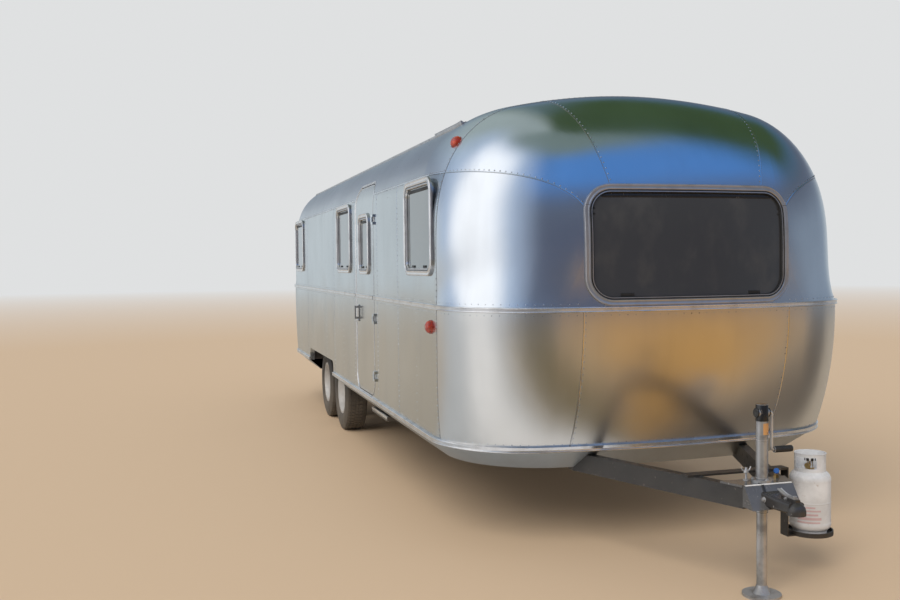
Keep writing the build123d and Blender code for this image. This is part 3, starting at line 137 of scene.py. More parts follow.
class Graph:
    """Makes and links the nodes of one material or shader group."""

    def __init__(self, tree: bpy.types.NodeTree) -> None:
        """Work on an empty tree.

        Args:
            tree: node tree that takes the nodes.
        """
        self.tree = tree
        tree.nodes.clear()

    def add(self, kind: str, inputs: dict | None = None, **settings: object) -> bpy.types.Node:
        """Add one node.

        Args:
            kind: Blender's node type.
            inputs: values or sockets for its inputs, by name or number.
            settings: properties of the node.

        Returns:
            The new node.
        """
        node = self.tree.nodes.new(kind)
        for name, value in settings.items():
            setattr(node, name, value)
        for name, value in (inputs or {}).items():
            if isinstance(value, bpy.types.NodeSocket):
                self.tree.links.new(value, node.inputs[name])
            else:
                node.inputs[name].default_value = value
        return node

    def math(self, operation: str, *values: object) -> Socket:
        """Result of a math node with the given inputs."""
        return self.add("ShaderNodeMath", dict(enumerate(values)), operation=operation).outputs[0]

    def plus(self, total: object, value: object, factor: float) -> Socket:
        """Total with some share of a value added to it."""
        return self.math("ADD", total, self.math("MULTIPLY", value, factor))

    def mix(self, share: object, first: object, second: object, blend: str = "MIX") -> Socket:
        """Colour mixed from two colours."""
        node = self.add("ShaderNodeMix", {0: share, 6: first, 7: second}, data_type="RGBA", blend_type=blend)
        return node.outputs[2]

    def spread(self, value: object, source: Pair, target: Pair) -> Socket:
        """Value moved from one range to another and held at its ends."""
        inputs = dict(enumerate((value, *source, *target)))
        return self.add("ShaderNodeMapRange", inputs, clamp=True).outputs[0]

    def group(self, tree: bpy.types.NodeTree, inputs: dict) -> bpy.types.Node:
        """Placed copy of a shader group with its own values."""
        return self.add("ShaderNodeGroup", inputs, node_tree=tree)


def rgba(colour: Colour) -> tuple[float, float, float, float]:
    """Colour with full opacity."""
    return (*colour, 1.0)


class EffectGroups:
    """Shader groups that several finishes share, each built once."""

    def __init__(self) -> None:
        """Build every group."""
        self.mottle = self._mottle()
        self.specks = self._specks()
        self.ground_dust = self._ground_dust()

    @staticmethod
    def _open(name: str, inputs: dict,
              outputs: Sequence[str]) -> tuple[Graph, bpy.types.Node, bpy.types.Node]:
        """Start a group.

        Args:
            name: name of the group.
            inputs: default value of each input by its name; three numbers make a vector.
            outputs: names of the values that it puts out.

        Returns:
            The graph with the group's input and output nodes.
        """
        tree = bpy.data.node_groups.new(name, "ShaderNodeTree")
        graph = Graph(tree)
        for label, default in inputs.items():
            kind = "NodeSocketVector" if isinstance(default, tuple) else "NodeSocketFloat"
            socket = tree.interface.new_socket(label, in_out="INPUT", socket_type=kind)
            socket.default_value = default
        for label in outputs:
            tree.interface.new_socket(label, in_out="OUTPUT", socket_type="NodeSocketFloat")
        return graph, graph.add("NodeGroupInput"), graph.add("NodeGroupOutput")

    def _mottle(self) -> bpy.types.NodeTree:
        """Soft uneven patches, or streaks and grain where the stretch differs by axis."""
        inputs = {"Vector": (0.0, 0.0, 0.0), "Stretch": (1.0, 1.0, 1.0), "Detail": 3.0, "From": 0.35,
                  "To": 0.65, "Low": 0.0, "High": 1.0}
        graph, start, end = self._open("mottle", inputs, ["Value"])
        place = graph.add("ShaderNodeMapping", {
            "Vector": start.outputs["Vector"], "Scale": start.outputs["Stretch"]})
        noise = graph.add("ShaderNodeTexNoise", {
            "Vector": place.outputs[0], "Scale": 1.0, "Detail": start.outputs["Detail"], "Roughness": 0.55})
        spread = graph.add("ShaderNodeMapRange", {
            "Value": noise.outputs[0], "From Min": start.outputs["From"], "From Max": start.outputs["To"],
            "To Min": start.outputs["Low"], "To Max": start.outputs["High"]}, interpolation_type="SMOOTHSTEP")
        graph.tree.links.new(spread.outputs[0], end.inputs["Value"])
        return graph.tree

    def _specks(self) -> bpy.types.NodeTree:
        """Scattered small spots of uneven size."""
        inputs = {"Vector": (0.0, 0.0, 0.0), "Scale": 60.0, "Size": 0.12, "Share": 0.3}
        graph, start, end = self._open("specks", inputs, ["Value"])
        cells = graph.add("ShaderNodeTexVoronoi", {
            "Vector": start.outputs["Vector"], "Scale": start.outputs["Scale"], "Randomness": 1.0})
        size = graph.math("MULTIPLY", start.outputs["Size"], cells.outputs["Color"])
        near = graph.math("LESS_THAN", cells.outputs["Distance"], size)
        split = graph.add("ShaderNodeSeparateColor", {0: cells.outputs["Color"]})
        chosen = graph.math("LESS_THAN", split.outputs[1], start.outputs["Share"])
        graph.tree.links.new(graph.math("MULTIPLY", near, chosen), end.inputs["Value"])
        return graph.tree

    def _ground_dust(self) -> bpy.types.NodeTree:
        """Dust that thins out upwards from the ground."""
        inputs = {"Vector": (0.0, 0.0, 0.0), "Top": 1.2, "Most": 0.5}
        graph, start, end = self._open("ground dust", inputs, ["Value"])
        split = graph.add("ShaderNodeSeparateXYZ", {0: start.outputs["Vector"]})
        height = graph.add("ShaderNodeMapRange", {
            "Value": split.outputs[2], "From Min": 0.0, "From Max": start.outputs["Top"],
            "To Min": start.outputs["Most"], "To Max": 0.0}, interpolation_type="SMOOTHSTEP")
        noise = graph.add("ShaderNodeTexNoise", {
            "Vector": start.outputs["Vector"], "Scale": 7.0, "Detail": 5.0, "Roughness": 0.6})
        uneven = graph.spread(noise.outputs[0], (0.3, 0.7), (0.45, 1.0))
        graph.tree.links.new(graph.math("MULTIPLY", height.outputs[0], uneven), end.inputs["Value"])
        return graph.tree


class Surface(Graph):
    """Graph of one material, with the shared effects laid over its object."""

    def __init__(self, name: str, groups: EffectGroups) -> None:
        """Start a material.

        Args:
            name: name of the material.
            groups: shared shader groups.
        """
        self.material = bpy.data.materials.new(name)
        self.material.use_nodes = True
        super().__init__(self.material.node_tree)
        self.groups = groups
        self.coords = self.add("ShaderNodeTexCoord").outputs["Object"]

    def mottle(self, stretch: Point | float, detail: float = 3.0, limits: Pair = (0.35, 0.65),
               values: Pair = (0.0, 1.0)) -> Socket:
        """Soft uneven patches, or streaks and grain where the stretch differs by axis.

        Args:
            stretch: how fine the patches are, along each axis or along all of them.
            detail: how broken their edges are.
            limits: levels of the noise between which they come up.
            values: what they put out at those levels.

        Returns:
            Socket of the patches.
        """
        if isinstance(stretch, float):
            stretch = (stretch, stretch, stretch)
        inputs = {"Vector": self.coords, "Stretch": stretch, "Detail": detail, "From": limits[0],
                  "To": limits[1], "Low": values[0], "High": values[1]}
        return self.group(self.groups.mottle, inputs).outputs[0]

    def specks(self, scale: float, size: float, share: float) -> Socket:
        """Scattered small spots."""
        inputs = {"Vector": self.coords, "Scale": scale, "Size": size, "Share": share}
        return self.group(self.groups.specks, inputs).outputs[0]

    def dust(self, top: float, most: float) -> Socket:
        """Dust that thins out up to a height."""
        inputs = {"Vector": self.coords, "Top": top, "Most": most}
        return self.group(self.groups.ground_dust, inputs).outputs[0]

    def shaded(self, colour: Colour, shade: Socket) -> Socket:
        """Colour made lighter and darker by a value."""
        grey = self.add("ShaderNodeCombineColor", {0: shade, 1: shade, 2: shade}).outputs[0]
        return self.mix(1.0, rgba(colour), grey, "MULTIPLY")

    def between(self, mask: Socket, limits: Pair) -> Socket:
        """Value that a mask moves from a lower to an upper limit."""
        low, high = limits
        return self.math("ADD", self.math("MULTIPLY", mask, high - low), low)

    def finish(self, inputs: dict, height: Socket, strength: float) -> bpy.types.Material:
        """Close the material with its surface shader.

        Args:
            inputs: inputs of the shader.
            height: relief of the surface in metres.
            strength: how strongly the relief shows.

        Returns:
            The material.
        """
        relief = self.add("ShaderNodeBump", {"Strength": strength, "Distance": 1.0, "Height": height})
        shader = self.add("ShaderNodeBsdfPrincipled", inputs | {"Normal": relief.outputs[0]})
        self.add("ShaderNodeOutputMaterial", {"Surface": shader.outputs[0]})
        return self.material


@dataclass(frozen=True)
class SheetFinish:
    """Rolled aluminium sheet that has dulled outdoors."""

    tone: Colour = (0.80, 0.82, 0.845)
    dust: Colour = (0.40, 0.33, 0.25)
    roughness: Pair = (0.12, 0.20)
    grain: Point = (240.0, 240.0, 2.4)
    streak: Point = (5.0, 5.0, 0.30)
    wave: float = 0.0016
    dust_top: float = 0.95
    dust_most: float = 0.22

    def dress(self, surface: Surface) -> bpy.types.Material:
        """Lay rolling grain, water streaks, haze, specks and gentle waves.

        Args:
            surface: graph of the new material.

        Returns:
            The material.
        """
        clouds = surface.mottle(1.3, values=(0.93, 1.03))
        streaks = surface.mottle(self.streak, limits=(0.45, 0.80))
        grain = surface.mottle(self.grain, 2.0, (0.25, 0.75))
        specks = surface.specks(26.0, 0.07, 0.10)
        dust = surface.dust(self.dust_top, self.dust_most)
        shade = surface.plus(surface.plus(clouds, streaks, -0.06), specks, -0.06)
        colour = surface.mix(dust, surface.shaded(self.tone, shade), rgba(self.dust))
        haze = surface.mottle((2.1, 2.1, 0.9), values=self.roughness)
        rough = surface.plus(surface.plus(haze, streaks, 0.02), grain, 0.008)
        rough = surface.plus(rough, surface.math("ADD", dust, specks), 0.04)
        waves = surface.mottle((2.3, 2.3, 1.7), 1.0, (0.2, 0.8))
        inputs = {"Base Color": colour, "Metallic": 1.0, "Roughness": rough}
        return surface.finish(inputs, surface.math("MULTIPLY", waves, self.wave), 1.0)


@dataclass(frozen=True)
class PaintFinish:
    """Paint over metal, worn through in places, with dust."""

    colour: Colour
    under: Colour = (0.20, 0.17, 0.15)
    dust: Colour = (0.32, 0.27, 0.21)
    roughness: Pair = (0.35, 0.60)
    wear: float = 0.35
    dust_top: float = 0.9
    dust_most: float = 0.35
    coat: float = 0.0
    pebble: float = 0.00012
    chip_depth: float = 0.0004

    def dress(self, surface: Surface) -> bpy.types.Material:
        """Lay orange peel, chips, scuffs and dust.

        Args:
            surface: graph of the new material.

        Returns:
            The material.
        """
        clouds = surface.mottle(6.0, 4.0, values=(0.82, 1.08))
        chips = surface.mottle((48.0, 48.0, 38.0), 7.0, (0.66, 0.70), (0.0, self.wear))
        scuffs = surface.mottle((90.0, 14.0, 40.0), 5.0, (0.55, 0.75))
        peel = surface.mottle(420.0, 2.0)
        dust = surface.dust(self.dust_top, self.dust_most)
        painted = surface.mix(chips, surface.shaded(self.colour, clouds), rgba(self.under))
        rough = surface.between(scuffs, self.roughness)
        rough = surface.plus(rough, surface.math("ADD", dust, chips), 0.3)
        height = surface.plus(surface.math("MULTIPLY", peel, self.pebble), chips, -self.chip_depth)
        inputs = {"Base Color": surface.mix(dust, painted, rgba(self.dust)), "Roughness": rough,
                  "Coat Weight": self.coat, "Coat Roughness": 0.12}
        return surface.finish(inputs, height, 0.6)


@dataclass(frozen=True)
class BareMetalFinish:
    """Bare or plated metal with fine marks."""

    colour: Colour
    tarnish: Colour
    roughness: Pair = (0.22, 0.45)
    grain: Point = (60.0, 60.0, 60.0)
    rust: float = 0.0
    rust_colour: Colour = (0.21, 0.09, 0.04)
    tooth: float = 0.000006
    scale: float = 0.00005
    metal: float = 1.0

    def dress(self, surface: Surface) -> bpy.types.Material:
        """Lay tarnish in patches, fine grain and a little rust where asked.

        Args:
            surface: graph of the new material.

        Returns:
            The material.
        """
        patches = surface.mottle(11.0, 4.0, (0.42, 0.72))
        grain = surface.mottle(self.grain, 3.0, (0.3, 0.7))
        rust = surface.mottle((36.0, 36.0, 30.0), 7.0, (0.60, 0.72), (0.0, self.rust))
        colour = surface.mix(patches, rgba(self.colour), rgba(self.tarnish))
        rough = surface.plus(surface.between(patches, self.roughness), grain, 0.04)
        metal = surface.math("MULTIPLY", surface.math("SUBTRACT", 1.0, rust), self.metal)
        height = surface.plus(surface.math("MULTIPLY", grain, self.tooth), rust, self.scale)
        inputs = {"Base Color": surface.mix(rust, colour, rgba(self.rust_colour)), "Metallic": metal,
                  "Roughness": surface.plus(rough, rust, 0.5)}
        return surface.finish(inputs, height, 0.7)


@dataclass(frozen=True)
class MouldedFinish:
    """Moulded plastic or rubber that has weathered."""

    colour: Colour
    faded: Colour
    roughness: Pair = (0.45, 0.70)
    texture: float = 0.00010
    texture_scale: float = 240.0
    grime: Colour = (0.10, 0.085, 0.07)
    dust: Colour = (0.34, 0.29, 0.23)
    dust_top: float = 0.8
    dust_most: float = 0.0

    def dress(self, surface: Surface) -> bpy.types.Material:
        """Lay a moulded texture, faded patches, grime and dust.

        Args:
            surface: graph of the new material.

        Returns:
            The material.
        """
        fade = surface.mottle(5.0, 5.0, (0.35, 0.70))
        grime = surface.mottle((19.0, 19.0, 4.0), 6.0, (0.56, 0.75))
        texture = surface.mottle(self.texture_scale, 2.0)
        dust = surface.dust(self.dust_top, self.dust_most)
        colour = surface.mix(fade, rgba(self.colour), rgba(self.faded))
        colour = surface.mix(surface.math("MULTIPLY", grime, 0.18), colour, rgba(self.grime))
        inputs = {"Base Color": surface.mix(dust, colour, rgba(self.dust)),
                  "Roughness": surface.plus(surface.between(fade, self.roughness), grime, 0.1)}
        return surface.finish(inputs, surface.math("MULTIPLY", texture, self.texture), 0.6)


@dataclass(frozen=True)
class PaneFinish:
    """Dark tinted window pane with a film of dust."""

    colour: Colour = (0.036, 0.037, 0.040)
    film: Colour = (0.085, 0.083, 0.080)
    shine: float = 0.6
    wave: float = 0.0004

    def dress(self, surface: Surface) -> bpy.types.Material:
        """Lay smears, dried drops and gentle waves in the pane.

        Args:
            surface: graph of the new material.

        Returns:
            The material.
        """
        smears = surface.mottle((6.0, 6.0, 4.0), 5.0, (0.42, 0.78))
        drops = surface.specks(55.0, 0.13, 0.25)
        film = surface.plus(surface.math("MULTIPLY", smears, 0.35), drops, 0.3)
        waves = surface.mottle(2.0, 1.0)
        inputs = {"Base Color": surface.mix(film, rgba(self.colour), rgba(self.film)),
                  "Roughness": surface.plus(0.05, film, 0.45), "Specular IOR Level": self.shine,
                  "Coat Weight": self.shine, "Coat Roughness": 0.03}
        return surface.finish(inputs, surface.math("MULTIPLY", waves, self.wave), 0.5)


@dataclass(frozen=True)
class LensFinish:
    """Coloured lamp lens."""

    colour: Colour
    deep: Colour
    flutes: float = 70.0
    flute_depth: float = 0.0006

    def dress(self, surface: Surface) -> bpy.types.Material:
        """Lay clear coloured plastic over moulded flutes.

        Args:
            surface: graph of the new material.

        Returns:
            The material.
        """
        depth = surface.mottle(40.0)
        flutes = surface.add("ShaderNodeTexWave", {
            "Vector": surface.coords, "Scale": self.flutes, "Distortion": 0.0}, wave_type="BANDS",
            bands_direction="Z").outputs["Fac"]
        inputs = {"Base Color": surface.mix(depth, rgba(self.colour), rgba(self.deep)), "Roughness": 0.16,
                  "Coat Weight": 0.7, "Coat Roughness": 0.04, "Subsurface Weight": 0.25,
                  "Subsurface Radius": (0.012, 0.004, 0.002)}
        return surface.finish(inputs, surface.math("MULTIPLY", flutes, self.flute_depth), 0.8)


class FinishBook:
    """Every material of the caravan, made once and found by name."""

    def __init__(self) -> None:
        """Prepare the shader groups and the recipes."""
        self.groups = EffectGroups()
        self.made: dict[str, bpy.types.Material] = {}
        # Cool tone on the crown and shoulders and warm tone on the lower panels: a slight painted reflection
        # of blue sky above and tan ground below, laid over the sheet's own colour.
        cool = (0.765, 0.80, 0.85)
        warm = (0.82, 0.80, 0.765)
        pan = (0.55, 0.55, 0.54)
        across, along = (2.4, 240.0, 240.0), (240.0, 2.4, 240.0)
        frames = (0.52, 0.52, 0.535)
        plated, dull = (0.80, 0.80, 0.81), (0.64, 0.63, 0.62)
        self.recipes = {
            "sheet_crown": SheetFinish(tone=cool, grain=across, roughness=(0.19, 0.235)),
            "sheet_shoulder": SheetFinish(tone=(0.785, 0.81, 0.85), roughness=(0.185, 0.23)),
            "sheet_corner": SheetFinish(tone=(0.80, 0.815, 0.84), roughness=(0.185, 0.23)),
            "sheet_lower": SheetFinish(tone=warm, grain=across, roughness=(0.285, 0.33)),
            "sheet_lower_corner": SheetFinish(tone=warm, roughness=(0.285, 0.32)),
            "sheet_side": SheetFinish(tone=(0.70, 0.725, 0.725), grain=along, roughness=(0.14, 0.22)),
            "sheet_roof": SheetFinish(tone=(0.76, 0.78, 0.80), grain=(2.4, 60.0, 60.0),
                                      roughness=(0.285, 0.34), wave=0.0003),
            "sheet_pan": SheetFinish(tone=pan, roughness=(0.34, 0.52), dust_most=0.75),
            "rivet_lap": SheetFinish(tone=(0.80, 0.81, 0.83), roughness=(0.16, 0.235), wave=0.0),
            "pan_lap": SheetFinish(tone=pan, roughness=(0.34, 0.52), dust_most=0.75, wave=0.0),
            "trim": BareMetalFinish(plated, dull, (0.13, 0.22), (200.0, 200.0, 30.0), metal=0.85),
            "rivet": BareMetalFinish((0.74, 0.75, 0.77), (0.34, 0.33, 0.33), (0.285, 0.40)),
            "window_frame": BareMetalFinish(frames, (0.40, 0.40, 0.41), (0.285, 0.42), metal=0.85),
            "window_rim": BareMetalFinish((0.50, 0.50, 0.515), (0.41, 0.41, 0.42), (0.285, 0.36),
                                          (30.0, 30.0, 60.0), metal=0.8),
            "side_rim": BareMetalFinish(plated, (0.64, 0.64, 0.65), (0.13, 0.22), (30.0, 30.0, 200.0),
                                        metal=0.7),
            # Pale, weakly metallic finish of the strip on the hood's fold: a painted highlight.
            "painted_highlight_edge": BareMetalFinish((0.86, 0.86, 0.87), (0.70, 0.70, 0.70), (0.14, 0.22), metal=0.3),
            "jack_paint": BareMetalFinish((0.36, 0.37, 0.39), (0.13, 0.13, 0.14), (0.12, 0.22), rust=0.15,
                                          metal=0.45),
            "jack_steel": BareMetalFinish((0.46, 0.46, 0.47), (0.26, 0.255, 0.25), (0.285, 0.42), rust=0.3,
                                          metal=0.55),
            "jack_crank": BareMetalFinish((0.62, 0.62, 0.63), (0.40, 0.39, 0.38), (0.285, 0.4), rust=0.2,
                                          metal=0.6),
            "brass": BareMetalFinish((0.70, 0.48, 0.20), (0.42, 0.28, 0.12), (0.285, 0.45)),
            "bumper": BareMetalFinish((0.70, 0.70, 0.71), (0.60, 0.595, 0.59), (0.285, 0.36),
                                      (6.0, 120.0, 120.0)),
            "handle": BareMetalFinish((0.78, 0.78, 0.79), (0.56, 0.55, 0.54), (0.12, 0.22)),
            "pane": PaneFinish(),
            "side_pane": PaneFinish(colour=(0.10, 0.118, 0.118), film=(0.20, 0.22, 0.215), shine=0.95),
            "amber_lens": LensFinish((0.50, 0.055, 0.012), (0.27, 0.020, 0.006)),
            "red_lens": LensFinish((0.55, 0.012, 0.012), (0.34, 0.006, 0.008)),
            "chassis_black": PaintFinish((0.020, 0.020, 0.021), wear=0.5, dust_most=0.14),
            "well_sheet": PaintFinish((0.045, 0.045, 0.047), wear=0.2, dust_most=0.7),
            "coupler_steel": PaintFinish((0.030, 0.030, 0.032), under=(0.34, 0.33, 0.32), wear=0.7,
                                         roughness=(0.2, 0.4), dust_most=0.10),
            "plate_steel": PaintFinish((0.095, 0.097, 0.102), under=(0.24, 0.235, 0.23), wear=0.6,
                                       roughness=(0.18, 0.36), coat=0.3, dust_most=0.08),
            "jack_head": PaintFinish((0.014, 0.014, 0.015), wear=0.35, roughness=(0.18, 0.4)),
            "faded_band": PaintFinish((0.50, 0.26, 0.10), under=(0.10, 0.08, 0.07), wear=0.7),
            "faded_label": PaintFinish((0.62, 0.44, 0.46), under=(0.70, 0.70, 0.73), wear=0.9,
                                       dust_most=0.15),
            "bottle_paint": PaintFinish((0.70, 0.72, 0.76), under=(0.28, 0.17, 0.10), wear=0.55,
                                        roughness=(0.25, 0.45), coat=0.25, dust_most=0.25),
            "step_black": PaintFinish((0.025, 0.025, 0.026), wear=0.6, dust_most=0.6),
            "rim_paint": PaintFinish((0.55, 0.56, 0.57), wear=0.3, roughness=(0.25, 0.42), coat=0.2),
            "sealant": MouldedFinish((0.075, 0.077, 0.080), (0.13, 0.13, 0.128), roughness=(0.5, 0.7)),
            "gasket": MouldedFinish((0.012, 0.012, 0.013), (0.030, 0.029, 0.028)),
            "floor_board": MouldedFinish((0.30, 0.20, 0.12), (0.36, 0.26, 0.17)),
            "blue_cap": MouldedFinish((0.03, 0.12, 0.42), (0.06, 0.18, 0.48), roughness=(0.3, 0.45)),
            "roof_plastic": MouldedFinish((0.72, 0.72, 0.70), (0.62, 0.61, 0.57)),
            "lamp_base": MouldedFinish((0.020, 0.020, 0.022), (0.045, 0.044, 0.042)),
            "grip": MouldedFinish((0.015, 0.015, 0.016), (0.04, 0.039, 0.037), texture=0.0005,
                                  texture_scale=420.0),
            "tyre": MouldedFinish((0.018, 0.018, 0.019), (0.040, 0.038, 0.036), roughness=(0.62, 0.8),
                                  dust_most=0.45),
        }

    def get(self, name: str) -> bpy.types.Material:
        """Material of a recipe.

        Args:
            name: name of the recipe.

        Returns:
            The material, built at its first use.
        """
        if name not in self.made:
            self.made[name] = self.recipes[name].dress(Surface(name, self.groups))
        return self.made[name]


class Seat:
    """Surface of some frame nodes, on which small pieces are seated."""

    def __init__(self, objects: Iterable[bpy.types.Object]) -> None:
        """Gather the meshes.

        Args:
            objects: frame nodes whose surface is used.
        """
        points: list[Vector] = []
        faces: list[tuple[int, ...]] = []
        for obj in objects:
            start = len(points)
            points += [vertex.co.copy() for vertex in obj.data.vertices]
            faces += [tuple(start + index for index in face.vertices) for face in obj.data.polygons]
        self.tree = BVHTree.FromPolygons(points, faces)

    def hit(self, start: Sequence[float], way: Sequence[float]) -> Spot | None:
        """First place where a ray meets the surface, with the outward normal there."""
        way = Vector(way)
        place, normal, _, _ = self.tree.ray_cast(Vector(start), way)
        if place is None:
            return None
        return place, (-normal if normal.dot(way) > 0 else normal)

    def nearest(self, point: Vector) -> Vector:
        """Nearest place on the surface."""
        return self.tree.find_nearest(point)[0]

    def trace(self, route: "Route", step: float = 0.012) -> list[Spot]:
        """Press a route onto the surface.

        Args:
            route: line outside the surface.
            step: distance between the places tried.

        Returns:
            Places with their normals, in order along the line.
        """
        found = []
        for (start, way), (end, next_way) in zip(route.corners, route.corners[1:]):
            start, end, way, next_way = Vector(start), Vector(end), Vector(way), Vector(next_way)
            count = max(1, round((end - start).length / step))
            for index in range(count + 1):
                share = index / count
                spot = self.hit(start.lerp(end, share), way.lerp(next_way, share).normalized())
                if spot is not None and (not found or (spot[0] - found[-1][0]).length > step / 4):
                    found.append(spot)
        return found


@dataclass(frozen=True)
class Route:
    """Line outside the body, each corner with the way in which it is pressed onto the skin."""

    corners: tuple[tuple[Point, Point], ...]

    @classmethod
    def pressed(cls, points: Sequence[Point], facing: Facing) -> "Route":
        """Line whose corners are all pressed the same way."""
        return cls(tuple((tuple(point), facing.value) for point in points))

    def flipped(self, side: int, end: int, middle: float) -> "Route":
        """Mirror image of the line.

        Args:
            side: -1 to mirror across the body, 1 to keep the side.
            end: -1 to mirror from front to rear, 1 to keep the end.
            middle: the body's middle along its length.

        Returns:
            The mirrored line.
        """
        corners = []
        for (x, y, z), (way_x, way_y, way_z) in self.corners:
            along = y if end > 0 else 2 * middle - y
            corners.append(((side * x, along, z), (side * way_x, end * way_y, way_z)))
        return Route(tuple(corners))


def even(trace: Sequence[Spot], pitch: float, inset: float = 0.0) -> list[Spot]:
    """Places at an even pitch along a trace.

    Args:
        trace: places with their normals.
        pitch: distance wanted between places.
        inset: length left free at both ends.

    Returns:
        Places with their normals.
    """
    places = np.array([place for place, _ in trace])
    normals = np.array([normal for _, normal in trace])
    along = np.concatenate([[0.0], np.cumsum(np.linalg.norm(np.diff(places, axis=0), axis=1))])
    free = along[-1] - 2 * inset
    if free <= 0:
        return []
    count = max(1, round(free / pitch))
    stops = inset + free * np.arange(count + 1) / count
    spots = np.stack([np.interp(stops, along, places[:, axis]) for axis in range(3)], axis=1)
    ways = np.stack([np.interp(stops, along, normals[:, axis]) for axis in range(3)], axis=1)
    return [(Vector(spot), Vector(way).normalized()) for spot, way in zip(spots, ways)]


class Workshop:
    """What every sub-assembly needs to build its pieces."""

    def __init__(self, frame: dict) -> None:
        """Keep the frame and prepare the finishes.
        """
        self.nodes = frame["nodes"]
        self.book = FinishBook()
        self.skin = Seat(self.nodes[name] for name in SKIN_NODES)

    def paint(self, node: str, finish: str) -> None:
        """Give a frame node its material."""
        mesh = self.nodes[node].data
        mesh.materials.clear()
        mesh.materials.append(self.book.get(finish))

    def piece(self, name: str, shape: Shape, finish: str, slot: Slot, body: Body | str = Body.CARAVAN,
              sharp: float = 35.0) -> bpy.types.Object:
        """Make one piece from points and faces in the frame's own axes.

        Args:
            name: name of the piece.
            shape: points and faces of the mesh.
            finish: recipe of its material.
            slot: finish slot, not used.
            body: body that it rides on.
            sharp: angle in degrees over which an edge stays sharp.

        Returns:
            The new object.
        """
        points, faces = shape
        mesh = bpy.data.meshes.new(name)
        mesh.from_pydata([tuple(point) for point in points], [], [tuple(face) for face in faces])
        work = bmesh.new()
        work.from_mesh(mesh)
        bmesh.ops.recalc_face_normals(work, faces=work.faces)
        work.to_mesh(mesh)
        work.free()
        mesh.shade_smooth()
        mesh.set_sharp_from_angle(angle=math.radians(sharp))
        mesh.materials.append(self.book.get(finish))
        obj = bpy.data.objects.new(name, mesh)
        bpy.context.scene.collection.objects.link(obj)
        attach(obj, body.value if isinstance(body, Body) else body)
        LOG.info("%s: %d faces", obj.name, len(mesh.polygons))
        return obj


SHELL_PANELS = {
    "crown_panel": "sheet_crown",
    "shoulder_panels": "sheet_shoulder",
    "corner_panels": "sheet_corner",
    "lower_panel": "sheet_lower",
    "lower_corner_panels": "sheet_lower_corner",
}
SKIN_NODES = [f"{end}_{panel}" for end in ("front", "rear") for panel in SHELL_PANELS]
SKIN_NODES += ["roof_panel", "side_wall_right", "side_wall_left"]


@dataclass
class Frame:
    """Main places of the body, read from the frame in metres."""

    nose: float
    tail: float
    half_width: float
    belt_low: float
    belt_high: float
    roof: float
    skirt: float
    round_end: float = 1.0
    flat_end: float = 0.5

    @classmethod
    def read(cls, trim_proud: float = 11 * MM) -> "Frame":
        """Measure the frame's own nodes.

        Args:
            trim_proud: how far the belt trim stands out from the skin.

        Returns:
            The places.
        """
        belt_low, belt_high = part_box("belt_trim")
        return cls(
            nose=belt_low.y + trim_proud, tail=belt_high.y - trim_proud, half_width=belt_high.x - trim_proud,
            belt_low=belt_low.z, belt_high=belt_high.z, roof=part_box("roof_panel")[1].z,
            skirt=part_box("skirt_trim")[0].z)

    @property
    def middle(self) -> float:
        """Middle of the body along its length."""
        return (self.nose + self.tail) / 2

    def girdle(self, height: float, out: float = 1.0) -> Route:
        """Line all the way round the body.

        Args:
            height: its height.
            out: its distance from the body.

        Returns:
            The line, from the front of the right wall round the rear.
        """
        x, front, rear = self.half_width + out, self.nose - out, self.tail + out
        start, end, half = self.nose + self.round_end, self.tail - self.round_end, self.flat_end
        corners = (
            (-x, start, Facing.FROM_RIGHT), (-x, end, Facing.FROM_RIGHT),
            (-half, rear, Facing.FROM_REAR), (half, rear, Facing.FROM_REAR),
            (x, end, Facing.FROM_LEFT), (x, start, Facing.FROM_LEFT),
            (half, front, Facing.FROM_FRONT), (-half, front, Facing.FROM_FRONT),
            (-x, start, Facing.FROM_RIGHT))
        return Route(tuple(((x, y, height), facing.value) for x, y, facing in corners))


@dataclass(frozen=True)
class Tint:
    """Patch of the surround or the ground that the metal mirrors; angles in degrees, with soft edges."""

    colour: Colour
    toward: tuple[float, float, float] | None = None
    below: Pair | None = None
    above: Pair | None = None


class Compass:
    """Masks by heading and height; heading 0 looks along the caravan from its nose, 90 to its left."""

    def __init__(self, graph: Graph, direction: Socket) -> None:
        """Split a direction of length one.

        Args:
            graph: graph to build in.
            direction: socket of the direction.
        """
        self.graph = graph
        self.x, self.y, self.rise = graph.add("ShaderNodeSeparateXYZ", {0: direction}).outputs
        square = graph.math("SUBTRACT", 1.0, graph.math("MULTIPLY", self.rise, self.rise))
        self.flat = graph.math("SQRT", graph.math("MAXIMUM", square, 0.0001))

    def toward(self, heading: float, narrow: float, wide: float) -> Socket:
        """Mask round a heading.

        Args:
            heading: its middle.
            narrow: angle to its middle within which it is one.
            wide: angle outside which it is nought.

        Returns:
            Socket of the mask.
        """
        turn = math.radians(heading)
        along = self.graph.plus(self.graph.math("MULTIPLY", self.x, math.sin(turn)), self.y, math.cos(turn))
        limits = (math.cos(math.radians(wide)), math.cos(math.radians(narrow)))
        return self.graph.spread(self.graph.math("DIVIDE", along, self.flat), limits, (0.0, 1.0))

    def below(self, low: float, high: float) -> Socket:
        """One below a rise, nought above a greater one."""
        limits = (math.sin(math.radians(low)), math.sin(math.radians(high)))
        return self.graph.spread(self.rise, limits, (1.0, 0.0))

    def lay(self, colour: object, tints: Iterable[Tint]) -> Socket:
        """Lay patches over a colour.

        Args:
            colour: what shows beside them.
            tints: the patches, the lowest first.

        Returns:
            Socket of the colour with its patches.
        """
        for tint in tints:
            masks = []
            if tint.toward:
                masks.append(self.toward(*tint.toward))
            if tint.below:
                masks.append(self.below(*tint.below))
            if tint.above:
                masks.append(self.graph.math("SUBTRACT", 1.0, self.below(*tint.above)))
            share = masks[0]
            for mask in masks[1:]:
                share = self.graph.math("MULTIPLY", share, mask)
            colour = self.graph.mix(share, colour, rgba(tint.colour))
        return colour


